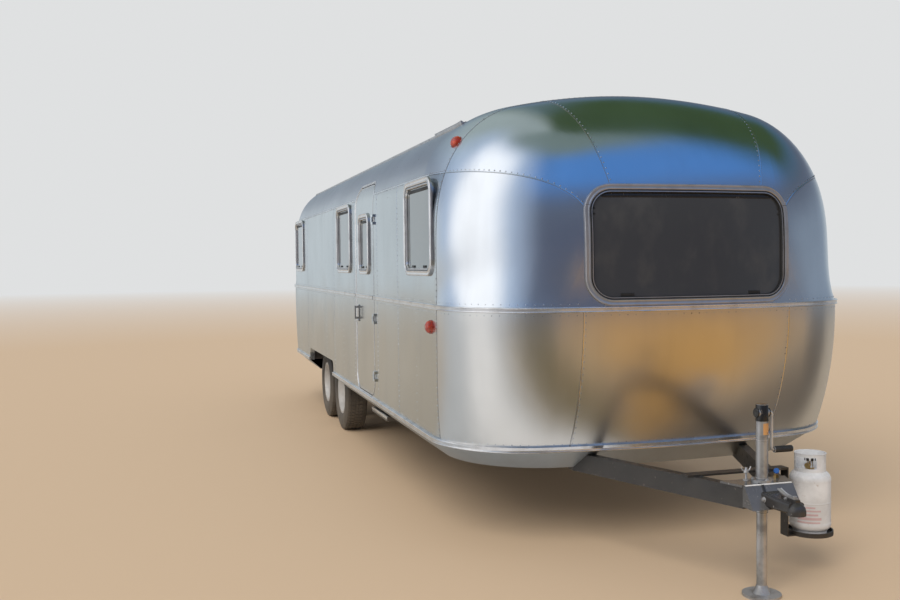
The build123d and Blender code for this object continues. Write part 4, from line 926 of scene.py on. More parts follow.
@dataclass
class Studio:
    """Floor, light and camera."""

    body: Frame
    focal_pixels: float = 962.5
    picture_width: float = 900.0
    sensor: float = 36.0
    stand: Point = (-2.6409, -4.4930, 1.5779)
    yaw: float = 16.17
    pitch: float = 2.19
    roll: float = -0.62
    floor_size: float = 400.0
    floor_colour: Colour = (0.66, 0.50, 0.345)
    floor_fade: Pair = (13.0, 55.0)
    ground_in_metal: Colour = (0.50, 0.44, 0.36)
    # Ground colours that only the metal sees: the near-white patch toward -92 is a painted pool of sunlight,
    # and the dark patch toward -150 is painted shade.
    ground_tints: tuple[Tint, ...] = (
        Tint((0.50, 0.54, 0.58), toward=(-80.0, 25.0, 46.0)),
        Tint((0.93, 0.95, 0.98), toward=(-92.0, 6.0, 20.0)),
        Tint((0.17, 0.135, 0.065), toward=(-150.0, 14.0, 28.0)),
        Tint((0.14, 0.12, 0.10), toward=(100.0, 9.0, 20.0)),
        Tint((0.62, 0.35, 0.10), toward=(152.0, 22.0, 34.0)))
    horizon: Colour = (0.74, 0.75, 0.755)
    ambient: Colour = (0.56, 0.56, 0.565)
    low_behind: Colour = (0.095, 0.115, 0.175)
    low_tints: tuple[Tint, ...] = (
        Tint((0.24, 0.30, 0.38), toward=(72.0, 34.0, 72.0)),
        Tint((0.58, 0.64, 0.68), toward=(-4.0, 44.0, 72.0)))
    low_edge: Pair = (7.0, 18.0)
    blue_band: Colour = (0.095, 0.26, 0.62)
    high_tints: tuple[Tint, ...] = (
        Tint((0.12, 0.145, 0.20), below=(22.0, 36.0)), Tint((0.19, 0.25, 0.23), above=(55.0, 66.0)),
        Tint((0.36, 0.43, 0.42), toward=(-22.0, 30.0, 56.0), above=(20.0, 36.0)),
        Tint((0.050, 0.085, 0.035), toward=(62.0, 34.0, 60.0), above=(20.0, 36.0)))
    left_tints: tuple[Tint, ...] = (
        Tint((0.46, 0.58, 0.76), toward=(-86.0, 34.0, 62.0), below=(56.0, 70.0)),
        Tint((1.24, 1.27, 1.30), toward=(-86.0, 16.0, 36.0), below=(52.0, 66.0)))
    key_strength: float = 1.9
    key_width: float = 40.0
    key_colour: Colour = (1.0, 0.94, 0.86)
    key_place: Point = (-6.0, -7.0, 9.0)
    key_target: Point = (0.0, 0.0, 1.0)

    def build(self) -> None:
        """Make the floor, the world, the lamp and the camera."""
        self._camera()
        self._floor()
        self._world()
        self._lamp()
        bpy.context.scene.view_settings.view_transform = "Standard"

    def _from_nose(self, place: Point) -> Vector:
        """Place given from the nose, in the frame's axes."""
        return Vector(place) + Vector((0.0, self.body.nose, 0.0))

    def _camera(self) -> None:
        """Stand the camera where the photograph was taken from."""
        yaw, pitch, roll = (math.radians(angle) for angle in (self.yaw, self.pitch, self.roll))
        forward = Vector((math.sin(yaw) * math.cos(pitch), math.cos(yaw) * math.cos(pitch), -math.sin(pitch)))
        level = Vector((math.cos(yaw), -math.sin(yaw), 0.0))
        upward = level.cross(forward)
        right = level * math.cos(roll) + upward * math.sin(roll)
        above = upward * math.cos(roll) - level * math.sin(roll)
        data = bpy.data.cameras.new("viewpoint")
        data.sensor_width = self.sensor
        data.lens = self.focal_pixels / self.picture_width * self.sensor
        data.clip_start, data.clip_end = 0.05, 300.0
        camera = bpy.data.objects.new("viewpoint", data)
        turn = Matrix((right, above, -forward)).transposed().to_4x4()
        camera.matrix_world = Matrix.Translation(self._from_nose(self.stand)) @ turn
        bpy.context.scene.collection.objects.link(camera)
        bpy.context.scene.camera = camera

    def _floor(self) -> None:
        """Lay a wide plain floor."""
        half = self.floor_size / 2
        mesh = bpy.data.meshes.new("floor_plane")
        corners = [(-half, -half, 0), (half, -half, 0), (half, half, 0), (-half, half, 0)]
        mesh.from_pydata(corners, [], [(0, 1, 2, 3)])
        floor = bpy.data.objects.new("floor_plane", mesh)
        bpy.context.scene.collection.objects.link(floor)
        material = bpy.data.materials.new("studio floor")
        material.use_nodes = True
        graph = Graph(material.node_tree)
        coords = graph.add("ShaderNodeTexCoord").outputs["Object"]
        in_metal = graph.add("ShaderNodeLightPath").outputs["Is Glossy Ray"]
        away = graph.add("ShaderNodeVectorMath", {0: coords, 1: self._from_nose((0.0, 0.0, 0.0))},
                         operation="SUBTRACT")
        way = graph.add("ShaderNodeVectorMath", {0: away.outputs["Vector"]}, operation="NORMALIZE")
        compass = Compass(graph, way.outputs["Vector"])
        ground = compass.lay(rgba(self.ground_in_metal), self.ground_tints)
        shown = graph.mix(in_metal, rgba(self.floor_colour), ground)
        near = graph.add("ShaderNodeBsdfPrincipled", {"Base Color": shown, "Roughness": 0.9})
        low = graph.mix(in_metal, rgba(self.horizon), self._low(compass))
        far = graph.add("ShaderNodeEmission", {"Color": low, "Strength": 1.0})
        distance = graph.add("ShaderNodeVectorMath", {0: coords}, operation="LENGTH").outputs["Value"]
        fade = graph.spread(distance, self.floor_fade, (0.0, 1.0))
        both = graph.add("ShaderNodeMixShader", {0: fade, 1: near.outputs[0], 2: far.outputs[0]})
        graph.add("ShaderNodeOutputMaterial", {"Surface": both.outputs[0]})
        mesh.materials.append(material)

    def _low(self, compass: Compass) -> Socket:
        """Colour near the horizon, as the metal shows it."""
        return compass.lay(rgba(self.low_behind), self.low_tints)

    def _world(self) -> None:
        """Surround the scene: pale and plain for the camera, graded where metal mirrors it."""
        world = bpy.data.worlds.new("studio sky")
        bpy.context.scene.world = world
        world.use_nodes = True
        graph = Graph(world.node_tree)
        compass = Compass(graph, graph.add("ShaderNodeTexCoord").outputs["Generated"])
        colour = compass.lay(rgba(self.blue_band), self.high_tints)
        colour = graph.mix(compass.below(*self.low_edge), colour, self._low(compass))
        colour = compass.lay(colour, self.left_tints)
        path = graph.add("ShaderNodeLightPath")
        colour = graph.mix(path.outputs["Is Diffuse Ray"], colour, rgba(self.ambient))
        colour = graph.mix(path.outputs["Is Camera Ray"], colour, rgba(self.horizon))
        sky = graph.add("ShaderNodeBackground", {"Color": colour, "Strength": 1.0})
        graph.add("ShaderNodeOutputWorld", {"Surface": sky.outputs[0]})

    def _lamp(self) -> None:
        """Hang a broad key light over the left of the nose."""
        sun = bpy.data.lights.new("key_lamp", "SUN")
        sun.energy = self.key_strength
        sun.angle = math.radians(self.key_width)
        sun.color = self.key_colour
        place, target = self._from_nose(self.key_place), self._from_nose(self.key_target)
        lamp = bpy.data.objects.new("key_lamp", sun)
        lamp.location = place
        lamp.rotation_mode = "QUATERNION"
        lamp.rotation_quaternion = (target - place).to_track_quat("-Z", "Y")
        lamp.visible_camera = False
        lamp.visible_glossy = False
        bpy.context.scene.collection.objects.link(lamp)


@dataclass
class Assembly:
    """Sub-assembly that the workshop builds on the body."""

    shop: Workshop
    body: Frame

    def at(self, place: float) -> float:
        """Position of a place measured back from the nose."""
        return self.body.nose + place

    def seat(self, *names: str) -> Seat:
        """Surface of some frame nodes."""
        return Seat([self.shop.nodes[name] for name in names])


NODE_FINISHES = {
    "belly_pan": "sheet_pan",
    "belt_trim": "trim",
    "skirt_trim": "trim",
    "end_window_frames": "window_frame",
    "side_window_frames": "window_frame",
    "door_window_frame": "window_frame",
    "end_window_panes": "pane",
    "side_window_panes": "side_pane",
    "door_window_pane": "side_pane",
    "chassis_rails": "chassis_black",
    "cross_members": "chassis_black",
    "drawbar_tubes": "chassis_black",
    "drawbar_plate": "plate_steel",
    "axles": "chassis_black",
    "step_runners": "step_black",
    "floor": "floor_board",
    "wheel_boxes": "well_sheet",
    "coupler": "coupler_steel",
    "jack_tube": "jack_paint",
    "jack_leg": "jack_steel",
    "jack_crank": "jack_crank",
    "gas_bottle": "bottle_paint",
    "bottle_carrier": "chassis_black",
    "roof_cooler": "roof_plastic",
    "vent_curbs": "roof_plastic",
    "vent_lid_front": "roof_plastic",
    "vent_lid_rear": "roof_plastic",
    "rear_bumper": "bumper",
    "marker_lamps": "amber_lens",
    "tail_lamps": "red_lens",
    "door_handle": "handle",
    "entry_step": "step_black",
    "roof_panel": "sheet_roof",
    "side_wall_right": "sheet_side",
    "side_wall_left": "sheet_side",
    "door_panel": "sheet_side",
    "service_hatch": "sheet_side",
}


@dataclass
class Nodes:
    """Finishes of the frame's own nodes."""

    shop: Workshop

    def dress(self) -> None:
        """Paint every node that stays in view."""
        for end in ("front", "rear"):
            for panel, finish in SHELL_PANELS.items():
                self.shop.paint(f"{end}_{panel}", finish)
        for node, finish in NODE_FINISHES.items():
            self.shop.paint(node, finish)
        for name in self.shop.nodes:
            if name.startswith("tyre_"):
                self.shop.paint(name, "tyre")
            if name.startswith("rim_"):
                self.shop.paint(name, "rim_paint")


@dataclass
class Rivets:
    """Domed rivets, gathered along rows and made as one piece."""

    radius: float = 4.4 * MM
    height: float = 1.7 * MM
    sides: int = 8
    waist: float = 0.72
    waist_height: float = 0.66
    sunk: float = 0.5 * MM
    spots: list[Spot] = field(default_factory=list)

    def add(self, spots: Iterable[Spot]) -> None:
        """Take more places with their normals."""
        self.spots += spots

    def mesh(self) -> tuple[list[Vector], list[tuple[int, ...]]]:
        """Points and faces of all the rivets."""
        points: list[Vector] = []
        faces: list[tuple[int, ...]] = []
        for place, normal in self.spots:
            start = len(points)
            side = normal.orthogonal().normalized()
            other = normal.cross(side)
            for share, rise in ((1.0, -self.sunk), (self.waist, self.waist_height * self.height)):
                for index in range(self.sides):
                    turn = 2 * math.pi * index / self.sides
                    out = side * math.cos(turn) + other * math.sin(turn)
                    points.append(place + out * self.radius * share + normal * rise)
            points.append(place + normal * self.height)
            upper, top = start + self.sides, start + 2 * self.sides
            for index in range(self.sides):
                after = (index + 1) % self.sides
                faces.append((start + index, start + after, upper + after, upper + index))
                faces.append((upper + index, upper + after, top))
        return points, faces


@dataclass
class Ribbon:
    """Strip of constant section that lies along a trace on the body."""

    section: Sequence[Pair]
    closed: bool = False

    def mesh(self, trace: Sequence[Spot], seat: Seat | None = None, hand: int = 1) -> Shape:
        """Sweep the section.

        Args:
            trace: places with their normals.
            seat: surface that each corner is measured from, or None to measure from the trace's own plane.
            hand: -1 to mirror the section across the line.

        Returns:
            Points and faces.
        """
        points: list[Vector] = []
        count = len(trace)
        for index, (place, normal) in enumerate(trace):
            before = trace[index - 1][0] if index or self.closed else place
            after = trace[(index + 1) % count][0] if index < count - 1 or self.closed else place
            side = normal.cross(after - before).normalized() * hand
            for across, rise in self.section:
                spot = place + side * across
                if seat is not None:
                    spot = seat.nearest(spot)
                points.append(spot + normal * rise)
        size = len(self.section)
        faces = []
        for index in range(count if self.closed else count - 1):
            start, end = index * size, (index + 1) % count * size
            for corner in range(size):
                after = (corner + 1) % size
                faces.append((start + corner, start + after, end + after, end + corner))
        if not self.closed:
            faces.append(tuple(reversed(range(size))))
            faces.append(tuple(range((count - 1) * size, count * size)))
        return points, faces


def lathe(profile: Sequence[Pair], sides: int, base: Sequence[float],
          axis: Sequence[float]) -> Shape:
    """Turn a profile about an axis.

    Args:
        profile: radius and height of each point; a radius of nothing closes an end.
        sides: number of sides round.
        base: place of height nothing.
        axis: way in which the height grows.

    Returns:
        Points and faces.
    """
    base, axis = Vector(base), Vector(axis).normalized()
    side = axis.orthogonal().normalized()
    other = axis.cross(side)
    points: list[Vector] = []
    rings: list[list[int]] = []
    for radius, height in profile:
        count = sides if radius > 0 else 1
        rings.append(list(range(len(points), len(points) + count)))
        for index in range(count):
            turn = 2 * math.pi * index / sides
            out = side * math.cos(turn) + other * math.sin(turn)
            points.append(base + axis * height + out * radius)
    faces: list[tuple[int, ...]] = []
    for low, high in zip(rings, rings[1:]):
        for index in range(sides):
            after = (index + 1) % sides
            if len(low) == 1 and len(high) == 1:
                continue
            if len(low) == 1:
                faces.append((low[0], high[after], high[index]))
            elif len(high) == 1:
                faces.append((low[index], low[after], high[0]))
            else:
                faces.append((low[index], low[after], high[after], high[index]))
    return points, faces


def bar(low: Sequence[float], high: Sequence[float], bevel: float, segments: int = 2) -> Shape:
    """Box with rounded edges.

    Args:
        low: lowest corner.
        high: highest corner.
        bevel: radius of its edges.
        segments: steps round each edge.

    Returns:
        Points and faces.
    """
    low, high = Vector(low), Vector(high)
    work = bmesh.new()
    bmesh.ops.create_cube(work, size=1.0)
    size, middle = high - low, (high + low) / 2
    for vertex in work.verts:
        vertex.co = Vector(co * length for co, length in zip(vertex.co, size)) + middle
    bmesh.ops.bevel(work, geom=work.edges[:], offset=bevel, segments=segments, profile=0.5, affect="EDGES")
    work.verts.index_update()
    points = [vertex.co.copy() for vertex in work.verts]
    faces = [tuple(vertex.index for vertex in face.verts) for face in work.faces]
    work.free()
    return points, faces


def tube(path: Sequence[Sequence[float]], radius: float, sides: int = 8) -> Shape:
    """Round bar along a path.

    Args:
        path: points that it follows.
        radius: its radius.
        sides: number of sides round.

    Returns:
        Points and faces.
    """
    path = [Vector(point) for point in path]
    points: list[Vector] = []
    side = None
    for index, place in enumerate(path):
        along = (path[min(index + 1, len(path) - 1)] - path[max(index - 1, 0)]).normalized()
        side = along.orthogonal() if side is None else side - along * side.dot(along)
        side.normalize()
        other = along.cross(side)
        for step in range(sides):
            turn = 2 * math.pi * step / sides
            points.append(place + side * radius * math.cos(turn) + other * radius * math.sin(turn))
    faces = []
    for start in range(0, len(points) - sides, sides):
        for step in range(sides):
            after = (step + 1) % sides
            faces.append((start + step, start + after, start + sides + after, start + sides + step))
    faces.append(tuple(reversed(range(sides))))
    faces.append(tuple(range(len(points) - sides, len(points))))
    return points, faces


def bolt(place: Sequence[float], axis: Sequence[float], radius: float, washer: float = 1.7) -> Shape:
    """Hexagon bolt head on a washer.

    Args:
        place: middle of its seat.
        axis: way in which it stands out.
        radius: radius over its corners.
        washer: radius of the washer in head radii.

    Returns:
        Points and faces.
    """
    thick = radius * 0.25
    head = lathe([(0, thick), (radius, thick), (radius, radius * 0.95), (radius * 0.82, radius * 1.15),
                  (0, radius * 1.2)], 6, place, axis)
    wide = radius * washer
    rim = [(0, -thick), (wide, -thick), (wide, thick * 0.7), (wide * 0.92, thick), (0, thick)]
    return joined([head, lathe(rim, 20, place, axis)])


def joined(parts: Iterable[Shape]) -> Shape:
    """Points and faces of several meshes as one."""
    points: list = []
    faces: list = []
    for some_points, some_faces in parts:
        start = len(points)
        points += list(some_points)
        faces += [tuple(start + index for index in face) for face in some_faces]
    return points, faces


def flat(half: float, foot: float, shoulder: float, top: float, inset: float = 0.002) -> Section:
    """Section of a flat strip with chamfered edges.

    Args:
        half: half of its width.
        foot: height of its lower corners.
        shoulder: height at which the chamfers start.
        top: height of its upper face.
        inset: width of each chamfer.

    Returns:
        Corners of the section.
    """
    near = half - inset
    return ((-half, foot), (-half, shoulder), (-near, top), (near, top), (half, shoulder), (half, foot))


@dataclass
class Shell(Assembly):
    """Seams of the riveted skin: laps, rivets and rows along the ribs."""

    cap_seam: float = 0.680
    window_half: float = 0.603
    window_high: float = 1.980
    diagonal_start: float = 1.8675
    diagonal_middle: Pair = (0.830, 2.012)
    roof_seam: float = 2.090
    crown_half: float = 0.452
    crown_top_half: float = 0.570
    crown_top: float = 2.505
    lower_half: float = 0.612
    lower_run: Pair = (1.316, 0.594)
    past_side: float = 0.045
    side_depth: float = 0.06
    girdle_gaps: tuple[float, float, float] = (0.016, 0.014, 0.046)
    pitch: float = 0.034
    row: float = 0.012
    outside: float = 2.0
    rivet_proud: float = 0.0009
    rib_rivet: float = 0.0040
    lap: Section = ((0.0, -0.0005), (0.0, 0.0011), (0.0030, 0.0010), (0.0065, -0.0004))
    gap: Section = ((-0.0024, -0.0004), (-0.0018, 0.0004), (0.0002, 0.0012), (0.0004, -0.0004))
    side_seams: tuple[float, ...] = (1.640, 2.290, 3.180, 4.190, 5.910)
    side_ribs: tuple[float, ...] = (1.150, 3.700, 4.640, 5.470, 6.420)
    roof_ribs: tuple[float, ...] = (1.290, 1.900, 2.510, 3.730, 4.340, 5.560, 6.170)
    foot_rise: float = 0.034
    arches: Pair = (4.2, 5.9)
    over_arches: float = 0.72
    lap_margin: float = 0.004
    rib_margin: float = 0.006
    rib_pitch: float = 0.055
    rib_inset: float = 0.03
    girdle_pitch: float = 0.045
    window_low: float = 1.344
    end_depth: float = 0.5
    pan_rivet: float = 0.0050
    pan_run: tuple[float, float, float] = (0.95, 0.9, 0.92)
    pan_boxes: Pair = (4.15, 5.95)
    pan_half: float = 1.08
    pan_half_at_boxes: float = 0.80
    openings: tuple[tuple[int, float, float, float, float], ...] = (
        (-1, 0.745, 1.400, 1.505, 2.075), (-1, 3.300, 3.960, 1.505, 2.075), (-1, 6.180, 6.840, 1.505, 2.075),
        (1, 0.745, 1.400, 1.505, 2.075), (1, 2.300, 3.260, 1.505, 2.075), (1, 6.180, 6.840, 1.505, 2.075),
        (-1, 2.352, 3.090, 0.600, 2.175), (1, 2.490, 3.130, 0.690, 1.130), (0, 4.285, 5.815, 0.500, 0.695))
    gaps: list[Shape] = field(default_factory=list)

    def build(self) -> None:
        """Make the laps and rivets of both ends, the sides, the roof and the pan."""
        for end, name in ((1, "front"), (-1, "rear")):
            self._cap(end, name)
        self._body()
        self._rows()
        self._pan()
        self.shop.piece("seam_sealant", joined(self.gaps), "sealant", Slot.SKIN)

    def _lap(self, route: Route, hand: int) -> tuple[Shape, list[Spot]]:
        """Lap along a route.

        Args:
            route: line of the seam.
            hand: side to which the lap thins out.

        Returns:
            Mesh of the lap and the rivets along it.
        """
        seat = self.shop.skin
        trace = seat.trace(route)
        strip = Ribbon(self.lap).mesh(trace, seat, hand)
        self.gaps.append(Ribbon(self.gap).mesh(trace, seat, hand))
        spots = even(trace, self.pitch, self.pitch / 2)
        moved = []
        for index, (place, normal) in enumerate(spots):
            after = spots[min(index + 1, len(spots) - 1)][0]
            before = spots[max(index - 1, 0)][0]
            side = normal.cross(after - before).normalized() * hand
            moved.append((seat.nearest(place + side * self.row) + normal * self.rivet_proud, normal))
        return strip, moved

    def _cap(self, end: int, name: str) -> None:
        """Seams of one end cap.

        Args:
            end: 1 at the front, -1 at the rear.
            name: name of the end.
        """
        far = self.at(-self.outside)
        arc = [(-self.window_half, far, self.diagonal_start)]
        for share in np.linspace(0.06, 1.0, 24):
            x, z = self._diagonal(share)
            arc.append((-x, far, z))
        front = Facing.FROM_FRONT
        lines = {
            "crown": Route.pressed([(-self.crown_half, far, self.window_high + 0.004),
                                    (-self.crown_top_half, far, self.crown_top)], front),
            "diagonal": Route.pressed(arc, front),
            "lower": Route.pressed([(-self.lower_half, far, z) for z in self.lower_run], front),
        }
        laps, rivets = [], Rivets()
        for side in (-1, 1):
            for key, route in lines.items():
                placed = route.flipped(-side, end, self.body.middle)
                hand = side * end if key != "lower" else -side * end
                strip, spots = self._lap(placed, hand)
                laps.append(strip)
                rivets.add(spots)
        self.shop.piece(f"{name}_cap_laps", joined(laps), "rivet_lap", Slot.SKIN)
        self.shop.piece(f"{name}_cap_rivets", rivets.mesh(), "rivet", Slot.SKIN)

    def _diagonal(self, share: float) -> Pair:
        """Point of the seam that runs from the window round to the side."""
        start = Vector((self.window_half, self.diagonal_start))
        middle = Vector(self.diagonal_middle)
        end = Vector((self.body.half_width + self.past_side, self.roof_seam))
        return tuple((1 - share) * (1 - 2 * share) * start + 4 * share * (1 - share) * middle
                     + share * (2 * share - 1) * end)

    def _over(self, place: float, low: float) -> Route:
        """Line that goes up one side, over the roof and down the other side.

        Args:
            place: its place behind the nose.
            low: height of its two ends.

        Returns:
            The line, from the right wall to the left.
        """
        y, out = self.at(place), self.outside
        left, right, down = Facing.FROM_LEFT.value, Facing.FROM_RIGHT.value, Facing.FROM_ABOVE.value
        high = self.body.roof + 0.6
        return Route((((-out, y, low), right), ((-out, y, 2.0), right), ((-out, y, high), (0.75, 0.0, -0.66)),
                      ((-0.3, y, high + 0.3), down), ((0.3, y, high + 0.3), down),
                      ((out, y, high), (-0.75, 0.0, -0.66)), ((out, y, 2.0), left), ((out, y, low), left)))

    def _body(self) -> None:
        """Ring seams between caps and walls, wall seams, and seams between walls and roof."""
        length = self.body.tail - self.body.nose
        foot = self.body.skirt + self.foot_rise
        laps, rivets = [], Rivets()
        for place, hand in ((self.cap_seam, 1), (length - self.cap_seam, -1)):
            strip, spots = self._lap(self._over(place, foot), hand)
            laps.append(strip)
            rivets.add(spot for spot in spots if self._clear(spot[0], self.lap_margin))
        for side in (-1, 1):
            for place in self.side_seams:
                low = self.over_arches if self.arches[0] < place < self.arches[1] else foot
                x = side * self.outside
                line = [(x, self.at(place), low), (x, self.at(place), self.roof_seam)]
                strip, spots = self._lap(Route.pressed(line, Facing.onto_side(side)), side)
                laps.append(strip)
                rivets.add(spot for spot in spots if self._clear(spot[0], self.lap_margin))
            line = [(side * self.outside, self.at(place), self.roof_seam)
                    for place in (self.cap_seam, length - self.cap_seam)]
            strip, spots = self._lap(Route.pressed(line, Facing.onto_side(side)), -side)
            laps.append(strip)
            rivets.add(spot for spot in spots if self._clear(spot[0], self.lap_margin))
        self.shop.piece("wall_laps", joined(laps), "rivet_lap", Slot.SKIN)
        self.shop.piece("wall_rivets", rivets.mesh(), "rivet", Slot.SKIN)

    def _clear(self, place: Vector, margin: float) -> bool:
        """True where a rivet stays clear of windows, doors and wheel openings.

        Args:
            place: where the rivet is.
            margin: distance that it has to keep.

        Returns:
            Whether it stays.
        """
        if abs(place.x) < self.body.half_width - self.side_depth:
            return True
        side = -1 if place.x < 0 else 1
        for window_side, front, rear, low, high in self.openings:
            inside_y = self.at(front) - margin < place.y < self.at(rear) + margin
            if window_side in (0, side) and inside_y and low - margin < place.z < high + margin:
                return False
        return True

    def _rows(self) -> None:
        """Single rows along the ribs, the belt and the foot of the skirt."""
        rivets = Rivets(radius=self.rib_rivet)
        seat = self.shop.skin
        for side in (-1, 1):
            x = side * self.outside
            for place in self.side_ribs:
                line = [(x, self.at(place), 0.60), (x, self.at(place), self.roof_seam - 0.02)]
                trace = seat.trace(Route.pressed(line, Facing.onto_side(side)))
                rivets.add(even(trace, self.rib_pitch, self.rib_inset))
        for place in self.roof_ribs:
            trace = seat.trace(self._over(place, self.roof_seam + 0.02))
            rivets.add(even(trace, self.rib_pitch, self.rib_inset))
        below, above, foot = self.girdle_gaps
        for height in (self.body.belt_low - below, self.body.belt_high + above, self.body.skirt + foot):
            rivets.add(even(seat.trace(self.body.girdle(height)), self.girdle_pitch))
        kept = [spot for spot in rivets.spots
                if self._clear(spot[0], self.rib_margin) and self._free_end(spot[0])]
        self.shop.piece("rib_rivets", Rivets(radius=self.rib_rivet, spots=kept).mesh(), "rivet", Slot.SKIN)

    def _free_end(self, place: Vector) -> bool:
        """True where a rivet isn't under an end window's frame."""
        within = abs(place.x) < self.window_half + self.rib_margin
        within = within and self.window_low < place.z < self.window_high
        ahead, behind = self.body.nose + self.end_depth, self.body.tail - self.end_depth
        return not (within and (place.y < ahead or place.y > behind))

    def _pan(self) -> None:
        """Rows of rivets and laps under the belly."""
        seat = self.seat("belly_pan")
        length = self.body.tail - self.body.nose
        rivets = Rivets(radius=self.pan_rivet)
        laps = []
        first, left, pitch = self.pan_run
        for place in np.arange(first, length - left, pitch):
            at_boxes = self.pan_boxes[0] < place < self.pan_boxes[1]
            half = self.pan_half_at_boxes if at_boxes else self.pan_half
            line = [(-half, self.at(place), 0.0), (half, self.at(place), 0.0)]
            trace = seat.trace(Route.pressed(line, Facing.FROM_BELOW))
            laps.append(Ribbon(self.lap).mesh(trace, seat))
            rivets.add(even(trace, 0.06, 0.02))
        self.shop.piece("pan_laps", joined(laps), "pan_lap", Slot.SKIN)
        self.shop.piece("pan_rivets", rivets.mesh(), "rivet", Slot.SKIN)


@dataclass
class Tyre:
    """Road tyre with ribs, shoulder blocks and a moulded sidewall."""

    shop: Workshop
    name: str
    outer: float = 0.3550
    groove: float = 0.0080
    half_width: float = 0.1022
    rim: float = 0.1905
    rounds: int = 96
    blocks: int = 60
    rows: tuple[tuple[float, float, float, float], ...] = (
        (-0.86, -0.56, 0.35, 0.0), (-0.50, -0.18, 0.22, 0.3), (-0.12, 0.12, 0.10, 0.0),
        (0.18, 0.50, -0.22, 0.3), (0.56, 0.86, -0.35, 0.0))
    wall: Section = (
        (0.212, 0.86), (0.216, 0.905), (0.222, 0.93), (0.228, 0.925), (0.232, 0.965), (0.250, 0.995),
        (0.266, 1.0), (0.284, 0.992), (0.286, 0.984), (0.302, 0.975), (0.304, 0.985), (0.309, 0.983),
        (0.311, 0.968), (0.326, 0.93), (0.338, 0.885), (0.3445, 0.83))

    def build(self) -> None:
        """Make the tyre and hide the plain one."""
        low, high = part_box(f"tyre_{self.name}")
        self.centre = (low + high) / 2
        parts = [self._carcass()]
        parts += self._tread()
        body = f"wheel_{self.name}"
        tyre = self.shop.piece(f"road_tyre_{self.name}", joined(parts), "tyre", Slot.TYRE, body, sharp=28.0)
        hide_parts(f"tyre_{self.name}")

    def _carcass(self) -> Shape:
        """Casing and sidewalls."""
        floor, half = self.outer - self.groove, self.half_width
        side = [(self.rim - 0.004, 0.72), (self.rim + 0.004, 0.80), (self.rim + 0.011, 0.83), *self.wall]
        profile = [(radius, -half * share) for radius, share in side]
        profile += [(floor, -half * 0.78), (floor + 0.0015, 0.0), (floor, half * 0.78)]
        profile += [(radius, half * share) for radius, share in reversed(side)]
        profile.append(profile[0])
        return lathe(profile, self.rounds, self.centre, (1, 0, 0))

    def _tread(self) -> list[Shape]:
        """Blocks of the tread."""
        return [self._block(row, index) for row in self.rows for index in range(self.blocks)]

    def _block(self, row: tuple[float, float, float, float], index: int) -> Shape:
        """One block of a row.

        Args:
            row: its edges as shares of half the width, its slant and its shift, in pitches.
            index: its number in the row.

        Returns:
            Points and faces.
        """
        low, high, slant, shift = row
        pitch = 2 * math.pi / self.blocks
        start = (index + shift) * pitch
        length = pitch * (0.80 if abs(low) > 0.15 else 0.88)
        points = []
        for rise, inset in ((0.0, 0.0), (0.85, 0.02), (1.0, 0.09)):
            for side, along in ((0, 0), (1, 0), (1, 1), (0, 1)):
                share = high if side else low
                wear_and_highlight = 0.006 if abs(share) > 0.8 else 0.0
                radius = self.outer - self.groove - 0.001 + (self.groove + 0.001) * rise - wear_and_highlight
                x = share + (inset if not side else -inset) * (high - low)
                angle = start + slant * pitch * side + length * (along + (inset if not along else -inset))
                points.append(self.centre + Vector((x * self.half_width, radius * math.cos(angle),
                                                    radius * math.sin(angle))))
        faces = [(8, 9, 10, 11)]
        for level in (0, 4):
            for corner in range(4):
                after = (corner + 1) % 4
                faces.append((level + corner, level + after, level + 4 + after, level + 4 + corner))
        return points, faces


@dataclass
class WheelTrim:
    """Nuts and hub cap of one wheel."""

    shop: Workshop
    name: str
    nuts: int = 6
    nut_circle: float = 0.0575
    cap_radius: float = 0.041

    def build(self) -> None:
        """Make the small pieces on the rim."""
        low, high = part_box(f"rim_{self.name}")
        centre = (low + high) / 2
        out = -1 if centre.x < 0 else 1
        body = f"wheel_{self.name}"
        axis = Vector((out, 0, 0))
        nuts = []
        for index in range(self.nuts):
            turn = 2 * math.pi * (index + 0.5) / self.nuts
            round_hub = Vector((0.0, self.nut_circle * math.cos(turn), self.nut_circle * math.sin(turn)))
            nuts.append(bolt(centre + axis * 0.026 + round_hub, axis, 0.0105, 1.25))
        self.shop.piece(f"wheel_nuts_{self.name}", joined(nuts), "handle", Slot.RIM_PAINT, body)
        face = centre + axis * 0.060
        wide = self.cap_radius
        cap = lathe([(0, 0.0), (wide, 0.0), (wide, 0.006), (wide * 0.94, 0.011), (wide * 0.6, 0.0135),
                     (0, 0.0145)], 40, face, axis)
        self.shop.piece(f"hub_cap_{self.name}", cap, "handle", Slot.RIM_PAINT, body)


def outline(first: Pair, second: Pair, corner: float,
            step: float = 0.014) -> list[Pair]:
    """Rounded rectangle as an even run of points.

    Args:
        first: low and high value along the first axis.
        second: low and high value along the second axis.
        corner: radius of its corners.
        step: distance between points.

    Returns:
        Pairs of values, in order round it.
    """
    (low, high), (under, over) = first, second
    corners = ((high - corner, under + corner, -90), (high - corner, over - corner, 0),
               (low + corner, over - corner, 90), (low + corner, under + corner, 180))
    arc = max(4, math.ceil(corner * math.pi / 2 / step))
    points = []
    for index, (a, b, start) in enumerate(corners):
        for share in range(arc + 1):
            turn = math.radians(start + 90 * share / arc)
            points.append((a + corner * math.cos(turn), b + corner * math.sin(turn)))
        next_a, next_b, next_start = corners[(index + 1) % 4]
        turn = math.radians(next_start)
        target = (next_a + corner * math.cos(turn), next_b + corner * math.sin(turn))
        here = points[-1]
        count = int(math.hypot(target[0] - here[0], target[1] - here[1]) / step)
        points += [(here[0] + (target[0] - here[0]) * k / count, here[1] + (target[1] - here[1]) * k / count)
                   for k in range(1, count)]
    return points


